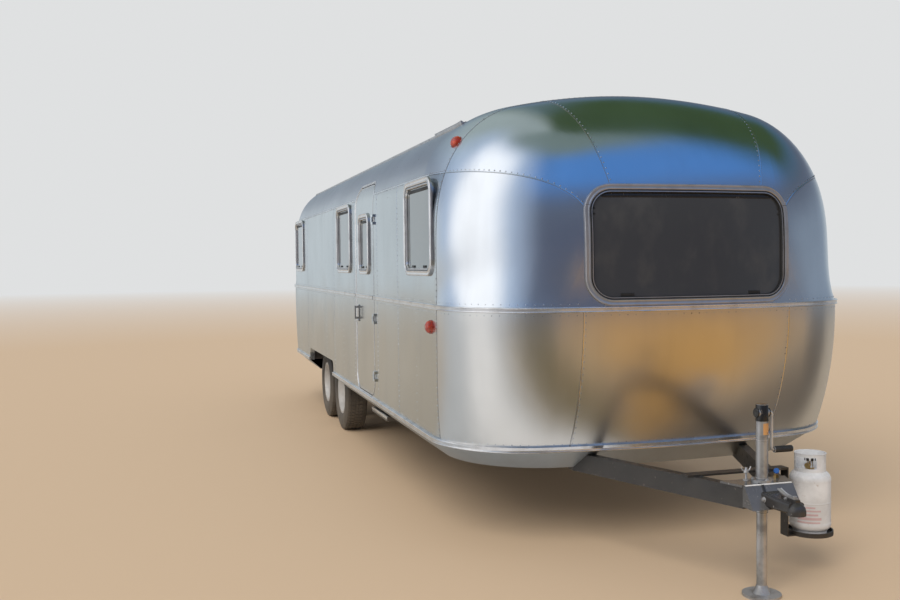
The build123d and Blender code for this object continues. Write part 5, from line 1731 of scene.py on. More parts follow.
@dataclass
class EndWindow(Assembly):
    """Front or rear window: profiled frame, gasket, hinge band and latches."""

    end: int
    name: str
    half: float = 0.603
    low: float = 1.350
    high: float = 1.980
    corner: float = 0.150
    joint_z: float = 1.872
    joint_width: float = 0.003
    joint_rise: float = 0.0003
    edge: float = 0.001
    hinge_drop: float = 0.060
    hinge_inset: float = 0.105
    latch_rise: float = 0.056
    latch_run: Pair = (0.34, 0.41)
    stay_drops: Pair = (0.125, 0.155)
    stay_inset: float = 0.058
    frame_section: Section = (
        (0.0005, -0.011), (0.0005, 0.0), (0.0025, 0.0022), (0.0055, 0.0026), (0.0080, 0.0010),
        (0.0190, 0.0008), (0.0215, 0.0026), (0.0255, 0.0028), (0.0285, 0.0005), (0.0290, -0.011))
    gasket_section: Section = (
        (0.0288, -0.013), (0.0288, -0.0010), (0.0300, 0.0012), (0.0365, 0.0010), (0.0385, -0.0015),
        (0.0435, -0.0048), (0.0455, -0.0100), (0.0455, -0.013))

    def build(self) -> None:
        """Make the pieces round and in the window."""
        self.panes = self.seat("end_window_panes")
        self.trace = self._press(self.seat("end_window_frames"))
        metal = Ribbon(self.frame_section, closed=True).mesh(self.trace, hand=self.end)
        self.shop.piece(f"{self.name}_window_rim", metal, "window_rim", Slot.WINDOW_FRAME)
        rubber = Ribbon(self.gasket_section, closed=True).mesh(self.trace, hand=self.end)
        self.shop.piece(f"{self.name}_window_gasket", rubber, "gasket", Slot.WINDOW_FRAME)
        self._hinge_band()
        self._latches()
        self._joints()

    def _joints(self) -> None:
        """Butt joints of the frame's upper and lower lengths, one at each side."""
        lines = []
        for side in (-1, 1):
            joint, along = Vector((side * self.half, self._far(), self.joint_z)), Vector((0, 1, 0))
            place, normal = min(self.trace, key=lambda spot: (spot[0] - joint).cross(along).length)
            step = Vector((0, 0, self.joint_width if side > 0 else -self.joint_width))
            section = [(across, rise + self.joint_rise) for across, rise in self.frame_section]
            lines.append(Ribbon(section).mesh([(place, normal), (place + step, normal)], hand=self.end))
        self.shop.piece(f"{self.name}_window_joints", joined(lines), "sealant", Slot.WINDOW_FRAME)

    def _far(self) -> float:
        """Position well outside this end."""
        return self.body.nose - 2.0 if self.end > 0 else self.body.tail + 2.0

    def _press(self, seat: Seat) -> list[Spot]:
        """Outline of the window on the frame's face.

        Args:
            seat: surface of the frame.

        Returns:
            Places with their normals.
        """
        half, low, high = self.half - self.edge, self.low + self.edge, self.high - self.edge
        found = []
        for x, z in outline((-half, half), (low, high), self.corner - self.edge):
            spot = seat.hit((x, self._far(), z), Facing.onto_end(self.end).value)
            if spot is not None:
                found.append(spot)
        return found

    def _on_pane(self, x: float, z: float) -> Spot:
        """Place on the pane's outside."""
        return self.panes.hit((x, self._far(), z), Facing.onto_end(self.end).value)

    def _hinge_band(self) -> None:
        """Dark hinge band along the top of the pane."""
        z, half = self.high - self.hinge_drop, self.half - self.hinge_inset
        spots = [self._on_pane(x, z) for x in np.linspace(-half, half, 40)]
        band = Ribbon(flat(0.011, -0.002, 0.0020, 0.0032)).mesh(spots)
        knuckle = Ribbon(((0.0105, 0.0), (0.0105, 0.0045), (0.0135, 0.0060), (0.0165, 0.0045), (0.0165, 0.0)))
        hinge = joined([band, knuckle.mesh(spots, hand=self.end)])
        self.shop.piece(f"{self.name}_window_hinge", hinge, "jack_head", Slot.WINDOW_FRAME)

    def _latches(self) -> None:
        """Latch plates at the foot of the pane and stay screws at its sides."""
        parts = []
        for side in (-1, 1):
            spots = [self._on_pane(side * x, self.low + self.latch_rise)
                     for x in np.linspace(*self.latch_run, 8)]
            parts.append(Ribbon(flat(0.008, 0.0, 0.003, 0.0048)).mesh(spots))
            for drop in self.stay_drops:
                place, normal = self._on_pane(side * (self.half - self.stay_inset), self.high - drop)
                stud = [(0, 0.0), (0.0058, 0.0), (0.0058, 0.0018), (0.0046, 0.0032), (0, 0.0036)]
                parts.append(lathe(stud, 14, place, normal))
        self.shop.piece(f"{self.name}_window_latches", joined(parts), "gasket", Slot.WINDOW_FRAME)


@dataclass
class SideWindows(Assembly):
    """Windows of both walls and of the door."""

    windows: tuple[tuple[int, float, float, str], ...] = (
        (-1, 0.745, 1.400, "right_front"), (-1, 3.300, 3.960, "right_middle"),
        (-1, 6.180, 6.840, "right_rear"), (1, 0.745, 1.400, "left_front"),
        (1, 2.300, 3.260, "left_middle"), (1, 6.180, 6.840, "left_rear"))
    low: float = 1.505
    high: float = 2.075
    corner: float = 0.095
    door: tuple[float, float, float, float, float] = (2.540, 2.940, 1.500, 1.960, 0.080)
    proud: float = 0.012
    set_back: float = 0.004
    edge: float = 0.001
    hinge_drop: float = 0.062
    hinge_inset: float = 0.085
    latch_shares: Pair = (0.30, 0.70)
    stay_shares: Pair = (0.62, 0.68)
    stay_inset: float = 0.060
    gasket_section: Section = (
        (0.0288, -0.013), (0.0288, -0.0010), (0.0300, 0.0006), (0.0335, 0.0004), (0.0345, -0.0020),
        (0.0345, -0.013))
    sash_section: Section = (
        (0.0343, -0.013), (0.0343, -0.0035), (0.0360, -0.0022), (0.0400, -0.0026), (0.0430, -0.0045),
        (0.0450, -0.0100), (0.0450, -0.013))

    def build(self) -> None:
        """Dress every window."""
        for side, front, rear, name in self.windows:
            self._window(side, front, rear, self.low, self.high, self.corner, name, Body.CARAVAN)
        front, rear, low, high, corner = self.door
        self._window(-1, front, rear, low, high, corner, "door", Body.ENTRY_DOOR)

    def _window(self, side: int, front: float, rear: float, low: float, high: float, corner: float, name: str,
                body: Body) -> None:
        """Rim, gasket, hinge band and latches of one window.

        Args:
            side: -1 on the door side, 1 on the other.
            front: its front edge, measured back from the nose.
            rear: its rear edge.
            low: its lower edge.
            high: its upper edge.
            corner: radius of its corners.
            name: name of the window.
            body: body that it rides on.
        """
        y0, y1 = self.body.nose + front, self.body.nose + rear
        x = side * (self.body.half_width + self.proud)
        normal = Vector((side, 0, 0))
        edge = self.edge
        around = outline((y0 + edge, y1 - edge), (low + edge, high - edge), corner - edge)
        trace = [(Vector((x, y, z)), normal) for y, z in around]
        metal = Ribbon(EndWindow.frame_section, closed=True).mesh(trace, hand=side)
        self.shop.piece(f"{name}_window_rim", metal, "side_rim", Slot.WINDOW_FRAME, body)
        rubber = Ribbon(self.gasket_section, closed=True).mesh(trace, hand=side)
        self.shop.piece(f"{name}_window_gasket", rubber, "gasket", Slot.WINDOW_FRAME, body)
        sash = Ribbon(self.sash_section, closed=True).mesh(trace, hand=side)
        self.shop.piece(f"{name}_window_sash", sash, "side_rim", Slot.WINDOW_FRAME, body)
        glass = side * (self.body.half_width - self.set_back)
        hinge = high - self.hinge_drop
        line = [(Vector((glass, y, hinge)), normal)
                for y in np.linspace(y0 + self.hinge_inset, y1 - self.hinge_inset, 12)]
        parts = [Ribbon(flat(0.010, -0.001, 0.002, 0.003)).mesh(line)]
        for share in self.latch_shares:
            y = y0 + (y1 - y0) * share
            inner, outer = sorted((glass, glass + side * 0.005))
            parts.append(bar((inner, y - 0.030, low + 0.048), (outer, y + 0.030, low + 0.062), 0.0015))
        for share in self.stay_shares:
            stud = [(0, 0.0), (0.0055, 0.0), (0.0055, 0.0018), (0.0042, 0.003), (0, 0.0034)]
            spot = (glass, y0 + self.stay_inset, low + (high - low) * share)
            parts.append(lathe(stud, 12, spot, normal))
        self.shop.piece(f"{name}_window_fittings", joined(parts), "gasket", Slot.WINDOW_FRAME, body)


@dataclass
class Trims(Assembly):
    """Beads of the belt and the skirt trim."""

    step: float = 0.02
    longest_gap: float = 0.09
    outside: float = 0.004
    belt: Section = (
        (-0.0140, -0.004), (-0.0140, 0.0), (-0.0125, 0.0022), (-0.0100, 0.0030), (-0.0075, 0.0022),
        (-0.0055, -0.0010), (0.0055, -0.0010), (0.0075, 0.0022), (0.0100, 0.0030), (0.0125, 0.0022),
        (0.0140, 0.0), (0.0140, -0.004))
    foot: Section = (
        (-0.0158, -0.004), (-0.0158, 0.0), (-0.0140, 0.0028), (-0.0110, 0.0038), (-0.0080, 0.0028),
        (-0.0060, -0.0008), (0.0060, -0.0008), (0.0080, 0.0026), (0.0110, 0.0034), (0.0140, 0.0026),
        (0.0158, 0.0), (0.0158, -0.004))

    def build(self) -> None:
        """Make both beads."""
        self._bead("belt_trim", "belt_bead", self.belt)
        self._bead("skirt_trim", "skirt_bead", self.foot)

    def _bead(self, node: str, name: str, section: Section) -> None:
        """Two rolled edges that follow a trim all the way round it.

        Args:
            node: frame node of the trim.
            name: name of the piece.
            section: profile of the bead.
        """
        low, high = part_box(node)
        runs: list[list[Spot]] = [[]]
        for place, normal in self.seat(node).trace(self.body.girdle((low.z + high.z) / 2), self.step):
            on_face = self._is_outside(place, self.outside)
            if not on_face or (runs[-1] and (place - runs[-1][-1][0]).length > self.longest_gap):
                if runs[-1]:
                    runs.append([])
            if on_face:
                runs[-1].append((place, Vector((normal.x, normal.y, 0)).normalized()))
        parts = [Ribbon(section).mesh(run) for run in runs if len(run) > 2]
        self.shop.piece(name, joined(parts), "trim", Slot.TRIM)

    def _is_outside(self, place: Vector, margin: float) -> bool:
        """True where a ray met the trim's outer face rather than the far side through a gap."""
        if self.body.nose + self.body.round_end < place.y < self.body.tail - self.body.round_end:
            return abs(place.x) > self.body.half_width - margin
        return True


@dataclass
class MarkerLamps(Assembly):
    """Side marker lamps with a dark base and a domed lens."""

    radius: float = 0.034
    base: float = 0.0392
    sunk: float = -0.006
    places: tuple[tuple[float, float, float, Point], ...] = (
        (1.075, 0.732, 2.255, (0.764, -0.182, 0.618)), (1.219, 0.810, 1.215, (1.0, 0.0, 0.0)))

    def build(self) -> None:
        """Make a base ring and a lens for each lamp."""
        lens = self.radius + 0.0012
        ring = [(self.base, self.sunk), (self.base, 0.0065), (self.base - 0.002, 0.0085),
                (self.radius + 0.001, 0.0088), (self.radius + 0.0005, self.sunk)]
        dome = [(lens, 0.0080)]
        for step in range(12):
            turn = math.pi / 2 * step / 12
            dome.append((lens * math.cos(turn) ** 0.75, 0.0100 + 0.0235 * math.sin(turn)))
        dome.append((0, 0.0335))
        bases, lenses = [], []
        for x, place, z, way in self.places:
            for side in (-1, 1):
                axis = Vector((side * way[0], way[1], way[2])).normalized()
                spot = Vector((side * x, self.at(place), z))
                bases.append(lathe(ring, 40, spot, axis))
                lenses.append(lathe(dome, 40, spot, axis))
        self.shop.piece("marker_bases", joined(bases), "lamp_base", Slot.TRIM)
        self.shop.piece("marker_lenses", joined(lenses), "amber_lens", Slot.AMBER_LENS)


def screw(place: Sequence[float], axis: Sequence[float], radius: float) -> Shape:
    """Domed screw head with a sunk middle.

    Args:
        place: middle of its seat.
        axis: way in which it stands out.
        radius: radius of the head.

    Returns:
        Points and faces.
    """
    profile = [(radius, -radius * 0.2), (radius, radius * 0.15), (radius * 0.8, radius * 0.45),
               (radius * 0.35, radius * 0.6), (radius * 0.28, radius * 0.35), (0, radius * 0.35)]
    return lathe(profile, 12, place, axis)


def sleeve(middle: Sequence[float], radius: float, low: float, high: float,
           turns: Pair) -> Shape:
    """Thin patch round an upright tube.

    Args:
        middle: place on the tube's axis.
        radius: radius of the patch.
        low: height of its lower edge.
        high: height of its upper edge.
        turns: bearings of its two ends in degrees.

    Returns:
        Points and faces.
    """
    spots = []
    for share in np.linspace(0.0, 1.0, 24):
        turn = math.radians(turns[0] + (turns[1] - turns[0]) * share)
        out = Vector((math.cos(turn), math.sin(turn), 0.0))
        spots.append((Vector((middle[0], middle[1], (low + high) / 2)) + out * radius, out))
    half = (high - low) / 2
    return Ribbon(((-half, -0.0006), (-half, 0.0006), (half, 0.0006), (half, -0.0006))).mesh(spots)


@dataclass
class PanelDoor(Assembly):
    """Framed opening panel in a wall: its edge, its rows of rivets and the seal behind its gap."""

    side: int
    node: str
    rides: Body
    front: float
    rear: float
    low: float
    high: float
    corner: float
    inset: float = 0.020
    gap: float = 0.006
    pitch: float = 0.042
    seal: Section = (
        (0.0014, -0.036), (0.0014, -0.004), (0.0030, -0.003), (0.0040, -0.007), (0.0036, -0.036))
    edge: Section = (
        (0.0004, -0.006), (0.0004, 0.0006), (0.0014, 0.0018), (0.0060, 0.0018), (0.0074, 0.0006),
        (0.0074, -0.001))
    jamb: Section = (
        (-0.0020, -0.004), (-0.0020, 0.0004), (-0.0032, 0.0016), (-0.0060, 0.0016), (-0.0075, 0.0006),
        (-0.0150, 0.0005), (-0.0165, 0.0016), (-0.0192, 0.0016), (-0.0205, 0.0004), (-0.0205, -0.001))
    has_jamb: bool = False

    def _loop(self, seat: Seat, grow: float, step: float = 0.014) -> list[Spot]:
        """Outline of the panel on a surface, kept under the hinge leaves.

        Args:
            seat: surface that it lies on.
            grow: distance by which it lies outside the panel's own edge.
            step: distance between places.

        Returns:
            Places with their normals.
        """
        spots = []
        for y, z in outline((self.at(self.front) - grow, self.at(self.rear) + grow),
                            (self.low - grow, self.high + grow), self.corner + grow, step):
            spot = seat.hit((self.side * 2.0, y, z), (-self.side, 0, 0))
            if spot is None:
                continue
            wall = self.side * self.body.half_width
            if abs(spot[0].x) > abs(wall):
                spot = (Vector((wall, y, z)), Vector((self.side, 0, 0)))
            spots.append(spot)
        return spots

    def build(self) -> None:
        """Make the edge, the rivets and the seal."""
        face = self.seat(self.node)
        loop = self._loop(face, -self.inset)
        rivets = Rivets(radius=0.0040)
        rivets.add(even(loop + loop[:1], self.pitch))
        self.shop.piece(f"{self.node}_rivets", rivets.mesh(), "rivet", Slot.SKIN, self.rides)
        rim = Ribbon(self.edge, closed=True).mesh(self._loop(face, -0.001), hand=self.side)
        self.shop.piece(f"{self.node}_edge", rim, "trim", Slot.TRIM, self.rides)
        behind = self._loop(self.shop.skin, self.gap + 0.0012)
        rubber = Ribbon(self.seal, closed=True).mesh(behind, hand=self.side)
        self.shop.piece(f"{self.node}_seal", rubber, "gasket", Slot.TRIM)
        if self.has_jamb:
            around = self._loop(self.shop.skin, self.gap)
            jamb = Ribbon(self.jamb, closed=True).mesh(around, hand=self.side)
            self.shop.piece(f"{self.node}_jamb", jamb, "side_rim", Slot.TRIM)


@dataclass
class DoorFittings(Assembly):
    """Belt bead, lock and screws of the entry door."""

    front: float = 2.400
    rear: float = 3.080
    handle: float = 3.005
    plate: tuple[float, float, float, float] = (0.064, 0.007, 1.130, 1.260)
    bead: Section = (
        (-0.014, -0.001), (-0.014, 0.0110), (-0.0125, 0.0132), (-0.0100, 0.0140), (-0.0075, 0.0132),
        (-0.0055, 0.0100), (0.0055, 0.0100), (0.0075, 0.0132), (0.0100, 0.0140), (0.0125, 0.0132),
        (0.014, 0.0110), (0.014, -0.001))
    hinges: tuple[float, ...] = (0.760, 1.180, 1.900)
    leaf: float = 0.030
    screw_lifts: tuple[float, ...] = (-0.022, 0.0, 0.022)

    def build(self) -> None:
        """Make the pieces that ride on the door."""
        face = self.seat("door_panel")
        height = (self.body.belt_low + self.body.belt_high) / 2
        line = [face.hit((-2.0, y, height), (1, 0, 0))
                for y in np.linspace(self.at(self.front) + 0.014, self.at(self.rear) - 0.014, 24)]
        self.shop.piece("door_belt_bead", Ribbon(self.bead).mesh(line), "trim", Slot.TRIM, Body.ENTRY_DOOR)
        width, thick, low, high = self.plate
        x, y = -self.body.half_width - thick, self.at(self.handle)
        way = (-1, 0, 0)
        parts = [screw((x, y + side * (width / 2 - 0.008), z), way, 0.0042)
                 for side in (-1, 1) for z in (low + 0.009, high - 0.009)]
        lock = [(0.0105, 0.0), (0.0105, 0.002), (0.0088, 0.0042), (0.0030, 0.0042), (0.0030, 0.0022),
                (0, 0.0022)]
        parts.append(lathe(lock, 24, (x, y, low + 0.010), way))
        keyhole = (x - 0.0046, y - 0.0006, low + 0.0055), (x - 0.0040, y + 0.0006, low + 0.0145)
        parts.append(bar(*keyhole, 0.0002, 1))
        for z in self.hinges:
            for lift in self.screw_lifts:
                spot = face.hit((-2.0, self.at(self.front) + self.leaf, z + lift), (1, 0, 0))
                parts.append(screw(spot[0], spot[1], 0.0040))
        self.shop.piece("door_lock_and_screws", joined(parts), "handle", Slot.HANDLE, Body.ENTRY_DOOR)


@dataclass
class HatchLatches(Assembly):
    """Two turn latches and the hinge screws of the service hatch."""

    places: Pair = (2.620, 3.000)
    height: float = 0.742
    hinge_z: float = 1.056
    hinge_screws: tuple[float, ...] = (-0.022, 0.0, 0.022)

    def build(self) -> None:
        """Make the latches."""
        face = self.seat("service_hatch")
        parts = []
        for place in self.places:
            spot, way = face.hit((2.0, self.at(place), self.height), (-1, 0, 0))
            disc = [(0.019, -0.001), (0.019, 0.0015), (0.0165, 0.0032), (0.0120, 0.0032), (0.0110, 0.0018),
                    (0, 0.0018)]
            parts.append(lathe(disc, 32, spot, way))
            low, high = spot + Vector((0.001, -0.012, -0.003)), spot + Vector((0.006, 0.012, 0.003))
            parts.append(bar(low, high, 0.001))
            for shift in self.hinge_screws:
                hinge, out = face.hit((2.0, self.at(place) + shift, self.hinge_z), (-1, 0, 0))
                parts.append(screw(hinge, out, 0.0038))
        self.shop.piece("hatch_latches", joined(parts), "handle", Slot.HANDLE, Body.SERVICE_HATCH)


@dataclass
class TailLamps(Assembly):
    """Bright bezels and moulded lens rings of the tail lamps."""

    radius: float = 0.062
    aside: float = 0.820
    heights: Pair = (0.850, 1.010)
    facing: Point = (0.30, 0.94, -0.16)
    ring_shares: tuple[float, ...] = (0.82, 0.62, 0.42, 0.22)

    def build(self) -> None:
        """Make a bezel and lens rings for each lamp."""
        lamps = self.seat("tail_lamps")
        bezels, rings = [], []
        bezel = [(self.radius + 0.0005, -0.016), (self.radius + 0.0065, -0.016),
                 (self.radius + 0.0065, -0.004), (self.radius + 0.0030, 0.0005),
                 (self.radius - 0.0035, 0.0010), (self.radius - 0.0045, -0.0015)]
        for side in (-1, 1):
            axis = Vector((side * self.facing[0], self.facing[1], self.facing[2])).normalized()
            for height in self.heights:
                middle = self._middle(lamps, side, height, axis)
                bezels.append(lathe(bezel, 48, middle, axis))
                for share in self.ring_shares:
                    at_ring = self.radius * share
                    rise = lamps.hit(middle + axis * 0.3 + axis.orthogonal().normalized() * at_ring, -axis)
                    lift = (rise[0] - middle).dot(axis) if rise else 0.0
                    ring = [(at_ring + 0.002, lift - 0.002), (at_ring + 0.0012, lift + 0.0010),
                            (at_ring - 0.0012, lift + 0.0010), (at_ring - 0.002, lift - 0.002)]
                    rings.append(lathe(ring, 40, middle, axis))
        self.shop.piece("tail_bezels", joined(bezels), "trim", Slot.TRIM)
        self.shop.piece("tail_lens_rings", joined(rings), "red_lens", Slot.RED_LENS)

    def _middle(self, lamps: Seat, side: int, height: float, axis: Vector) -> Vector:
        """Middle of a lamp's rim, found from the middle and the edge of its lens.

        Args:
            lamps: surface of the lamps.
            side: -1 on the right, 1 on the left.
            height: height of the lamp.
            axis: way in which it faces.

        Returns:
            The place.
        """
        spot = lamps.hit(Vector((side * self.aside, self.body.tail, height)) + axis, -axis)
        edge = lamps.hit(spot[0] + axis + axis.orthogonal().normalized() * self.radius * 0.96, -axis)
        drop = (edge[0] - spot[0]).dot(axis) if edge else 0.0
        return spot[0] + axis * drop


@dataclass
class Drawbar(Assembly):
    """Bolts, welds, a dark strip and small fittings of the drawbar and its coupler."""

    jack: float = -0.600
    hood_top: float = 0.540
    flange_top: float = 0.552
    flange_bolts: float = 0.0405
    ball: float = -0.860
    fold: float = -0.652
    fold_half: float = 0.124
    rear_weld: Pair = (0.165, 0.125)
    bar_welds: Pair = (0.190, 0.235)
    bar_back: float = 0.082
    post: Point = (-0.052, 0.050, 0.540)
    outlet: Point = (0.112, 0.048, 0.540)
    outlet_way: Point = (-0.55, -0.80, 0.15)

    def build(self) -> None:
        """Make the pieces on the drawbar."""
        stem = Vector((0.0, self.at(self.jack), 0.0))
        up = Vector((0, 0, 1))
        bolts = []
        for turn in (30, 150, 270):
            out = Vector((math.cos(math.radians(turn)), math.sin(math.radians(turn)), 0))
            bolts.append(bolt(stem + out * self.flange_bolts + up * self.flange_top, up, 0.0072, 1.3))
        self.shop.piece("flange_bolts", joined(bolts), "jack_steel", Slot.JACK_STEEL)
        self._dark_strip()
        self._fold()
        self._welds()
        self._latch()
        self._post(stem + Vector(self.post))
        self._outlet(stem + Vector(self.outlet))

    def _dark_strip(self) -> None:
        """Dark strip laid over the hood's sloping face."""
        hood = self.seat("drawbar_plate")
        x, y = -0.034, self.at(self.jack)
        down, back = Facing.FROM_ABOVE.value, Facing.FROM_FRONT.value
        route = Route((((x, y - 0.030, 1.0), down), ((x, y - 0.052, 1.0), down),
                       ((x, y - 0.30, 0.62), (0.0, 0.55, -0.8)), ((x, y - 0.40, 0.460), back)))
        strip = Ribbon(flat(0.007, -0.001, 0.002, 0.0028, 0.001)).mesh(hood.trace(route, 0.006))
        self.shop.piece("hood_dark_strip", strip, "chassis_black", Slot.CHASSIS_BLACK)

    def _fold(self) -> None:
        """Pale strip painted as a highlight along the edge where the hood's plate folds down."""
        y, half = self.at(self.fold), self.fold_half
        line = [(Vector((x, y, self.hood_top)), Vector((0.0, -0.45, 0.9)).normalized())
                for x in np.linspace(-half, half, 12)]
        # Section of the pale strip that paints the highlight along the fold.
        wear_and_highlight = ((-0.0045, -0.001), (-0.0030, 0.0008), (0.0, 0.0014), (0.0030, 0.0008), (0.0045, -0.001))
        self.shop.piece("hood_fold", Ribbon(wear_and_highlight).mesh(line), "painted_highlight_edge", Slot.CHASSIS_BLACK)

    def _welds(self) -> None:
        """Weld beads along the hood's rear edge and where the carrier's bar meets the tubes."""
        tubes = self.seat("drawbar_tubes")
        beads = []
        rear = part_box("drawbar_plate")[1].y + 0.001
        for side in (-1, 1):
            start, end = (Vector((side * x, rear, 1.0)) for x in self.rear_weld)
            path = []
            for share in np.linspace(0.0, 1.0, 14):
                spot = tubes.hit(start.lerp(end, share), (0, 0, -1))
                if spot is not None:
                    path.append(spot[0] + Vector((0, 0.0008 * math.sin(share * 60), 0.001)))
            if len(path) > 2:
                beads.append(tube(path, 0.0042))
        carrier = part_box("bottle_carrier")[0].y + self.bar_back
        spatter = [(0.009, -0.001), (0.0075, 0.0035), (0.004, 0.0052), (0, 0.0055)]
        for side in (-1, 1):
            for x in self.bar_welds:
                spot = tubes.hit((side * x, carrier, 1.0), (0, 0, -1))
                if spot is not None:
                    beads.append(lathe(spatter, 10, spot[0], (0, 0, 1)))
        self.shop.piece("drawbar_welds", joined(beads), "chassis_black", Slot.CHASSIS_BLACK)

    def _latch(self) -> None:
        """Coupler latch: folded lever, cross pin and the clamp nut on top."""
        y = self.at(self.ball)
        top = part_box("coupler")[1].z
        lever = Ribbon(((-0.011, -0.002), (-0.011, 0.004), (-0.009, 0.0055), (-0.006, 0.002), (0.006, 0.002),
                        (0.009, 0.0055), (0.011, 0.004), (0.011, -0.002)))
        line = [(Vector((0.0, y + along, top + rise)), Vector((0, -slope, 1)).normalized())
                for along, rise, slope in ((0.0, 0.0015, 0.0), (0.035, 0.0015, 0.05), (0.070, 0.005, 0.15),
                                           (0.100, 0.012, 0.30), (0.125, 0.022, 0.40))]
        self.shop.piece("coupler_lever", lever.mesh(line), "jack_steel", Slot.COUPLER_STEEL)
        parts = [bolt((0.0, y + 0.012, top + 0.0035), (0, 0, 1), 0.0095, 1.35)]
        for side in (-1, 1):
            parts.append(bolt((side * 0.0135, y + 0.060, top - 0.008), (side, 0, 0), 0.0065, 1.3))
            spot = self.seat("coupler").hit((side, self.at(-0.700), 0.482), (-side, 0, 0))
            parts.append(bolt(spot[0], spot[1], 0.0095, 1.4))
        self.shop.piece("coupler_bolts", joined(parts), "jack_steel", Slot.COUPLER_STEEL)

    def _post(self, foot: Vector) -> None:
        """Threaded post with a wing nut behind the jack.

        Args:
            foot: place of its foot on the hood.
        """
        up = (0, 0, 1)
        parts = [lathe([(0.0155, 0.0), (0.0155, 0.003), (0.0145, 0.004), (0.006, 0.004)], 20, foot, up)]
        thread = [(0.0062 if step % 2 else 0.0053, 0.004 + 0.0016 * step) for step in range(36)]
        parts.append(lathe(thread + [(0, thread[-1][1])], 12, foot, up))
        nut = foot + Vector((0, 0, 0.036))
        parts.append(lathe([(0.006, 0.0), (0.012, 0.0), (0.0105, 0.012), (0.006, 0.014)], 16, nut, up))
        wing = ((0.009, 0.006), (0.018, 0.012), (0.024, 0.022), (0.024, 0.028))
        for side in (-1, 1):
            parts.append(tube([nut + Vector((side * reach, 0, lift)) for reach, lift in wing], 0.0034))
        self.shop.piece("wing_nut_post", joined(parts), "jack_crank", Slot.JACK_STEEL)

    def _outlet(self, foot: Vector) -> None:
        """Brass elbow with a blue cap on the hood.

        Args:
            foot: place of its foot on the hood.
        """
        up = (0, 0, 1)
        axis = Vector(self.outlet_way).normalized()
        turn = foot + Vector((0, 0, 0.034))
        stem = [(0.014, 0.0), (0.014, 0.010), (0.009, 0.011), (0.009, 0.034), (0, 0.034)]
        arm = [(0, -0.012), (0.0115, -0.010), (0.0115, 0.016), (0.0085, 0.018), (0.0085, 0.026), (0, 0.026)]
        body = [lathe(stem, 6, foot, up), lathe(arm, 20, turn, axis)]
        self.shop.piece("gas_elbow", joined(body), "brass", Slot.JACK_STEEL)
        cap = lathe([(0.0125, 0.0), (0.0135, 0.002), (0.0135, 0.012), (0.011, 0.0155), (0, 0.016)], 20,
                    turn + axis * 0.024, axis)
        self.shop.piece("gas_elbow_cap", cap, "blue_cap", Slot.JACK_STEEL)


@dataclass
class NoseJack(Assembly):
    """Dark head, faded band and hand grip of the nose jack."""

    place: float = -0.600
    radius: float = 0.0285
    head: Pair = (0.826, 0.905)
    band: Pair = (0.764, 0.817)
    hub: float = 0.865
    grip: tuple[float, float, float, float] = (0.0643, 0.0980, 0.014, 0.687)
    grip_ribs: int = 12
    rings: tuple[float, ...] = (0.556, 0.735, 0.400)

    def build(self) -> None:
        """Make the pieces on the jack."""
        stem = Vector((0.0, self.at(self.place), 0.0))
        low, high = self.head
        skin = self.radius
        cover = [(skin + 0.0002, low), (skin + 0.0018, low + 0.001), (skin + 0.0018, low + 0.006),
                 (skin + 0.0008, low + 0.007), (skin + 0.0008, high - 0.003),
                 (skin - 0.0015, high + 0.0005), (0, high + 0.0012)]
        parts = [lathe(cover, 40, stem, (0, 0, 1))]
        for side in (-1, 1):
            hub = stem + Vector((side * 0.0325, 0, self.hub))
            disc = [(0.0222, -0.006), (0.0228, 0.0), (0.0210, 0.0018), (0.012, 0.0022), (0, 0.0022)]
            parts.append(lathe(disc, 28, hub, (side, 0, 0)))
        self.shop.piece("jack_head_cover", joined(parts), "jack_head", Slot.JACK_PAINT)
        wrap = sleeve(stem, skin + 0.0002, self.band[0], self.band[1], (-112, 8))
        self.shop.piece("jack_band", wrap, "faded_band", Slot.JACK_PAINT)
        start, length, radius, height = self.grip
        profile = [(0, -0.0008), (radius * 0.7, -0.0008), (radius + 0.001, 0.002)]
        for index in range(self.grip_ribs):
            along = 0.006 + index * (length - 0.012) / self.grip_ribs
            profile += [(radius + 0.0016, along), (radius + 0.0016, along + 0.0045),
                        (radius + 0.0004, along + 0.0058)]
        profile += [(radius + 0.001, length - 0.002), (radius * 0.7, length + 0.0006), (0, length + 0.0006)]
        grip = lathe(profile, 24, (start, stem.y, height), (1, 0, 0))
        self.shop.piece("crank_grip", grip, "grip", Slot.JACK_CRANK)
        marks = [lathe([(skin - 0.001, z), (skin + 0.0009, z + 0.001), (skin + 0.0009, z + 0.0045),
                        (skin - 0.001, z + 0.0055)], 40, stem, (0, 0, 1)) for z in self.rings]
        self.shop.piece("jack_rings", joined(marks), "jack_steel", Slot.JACK_STEEL)


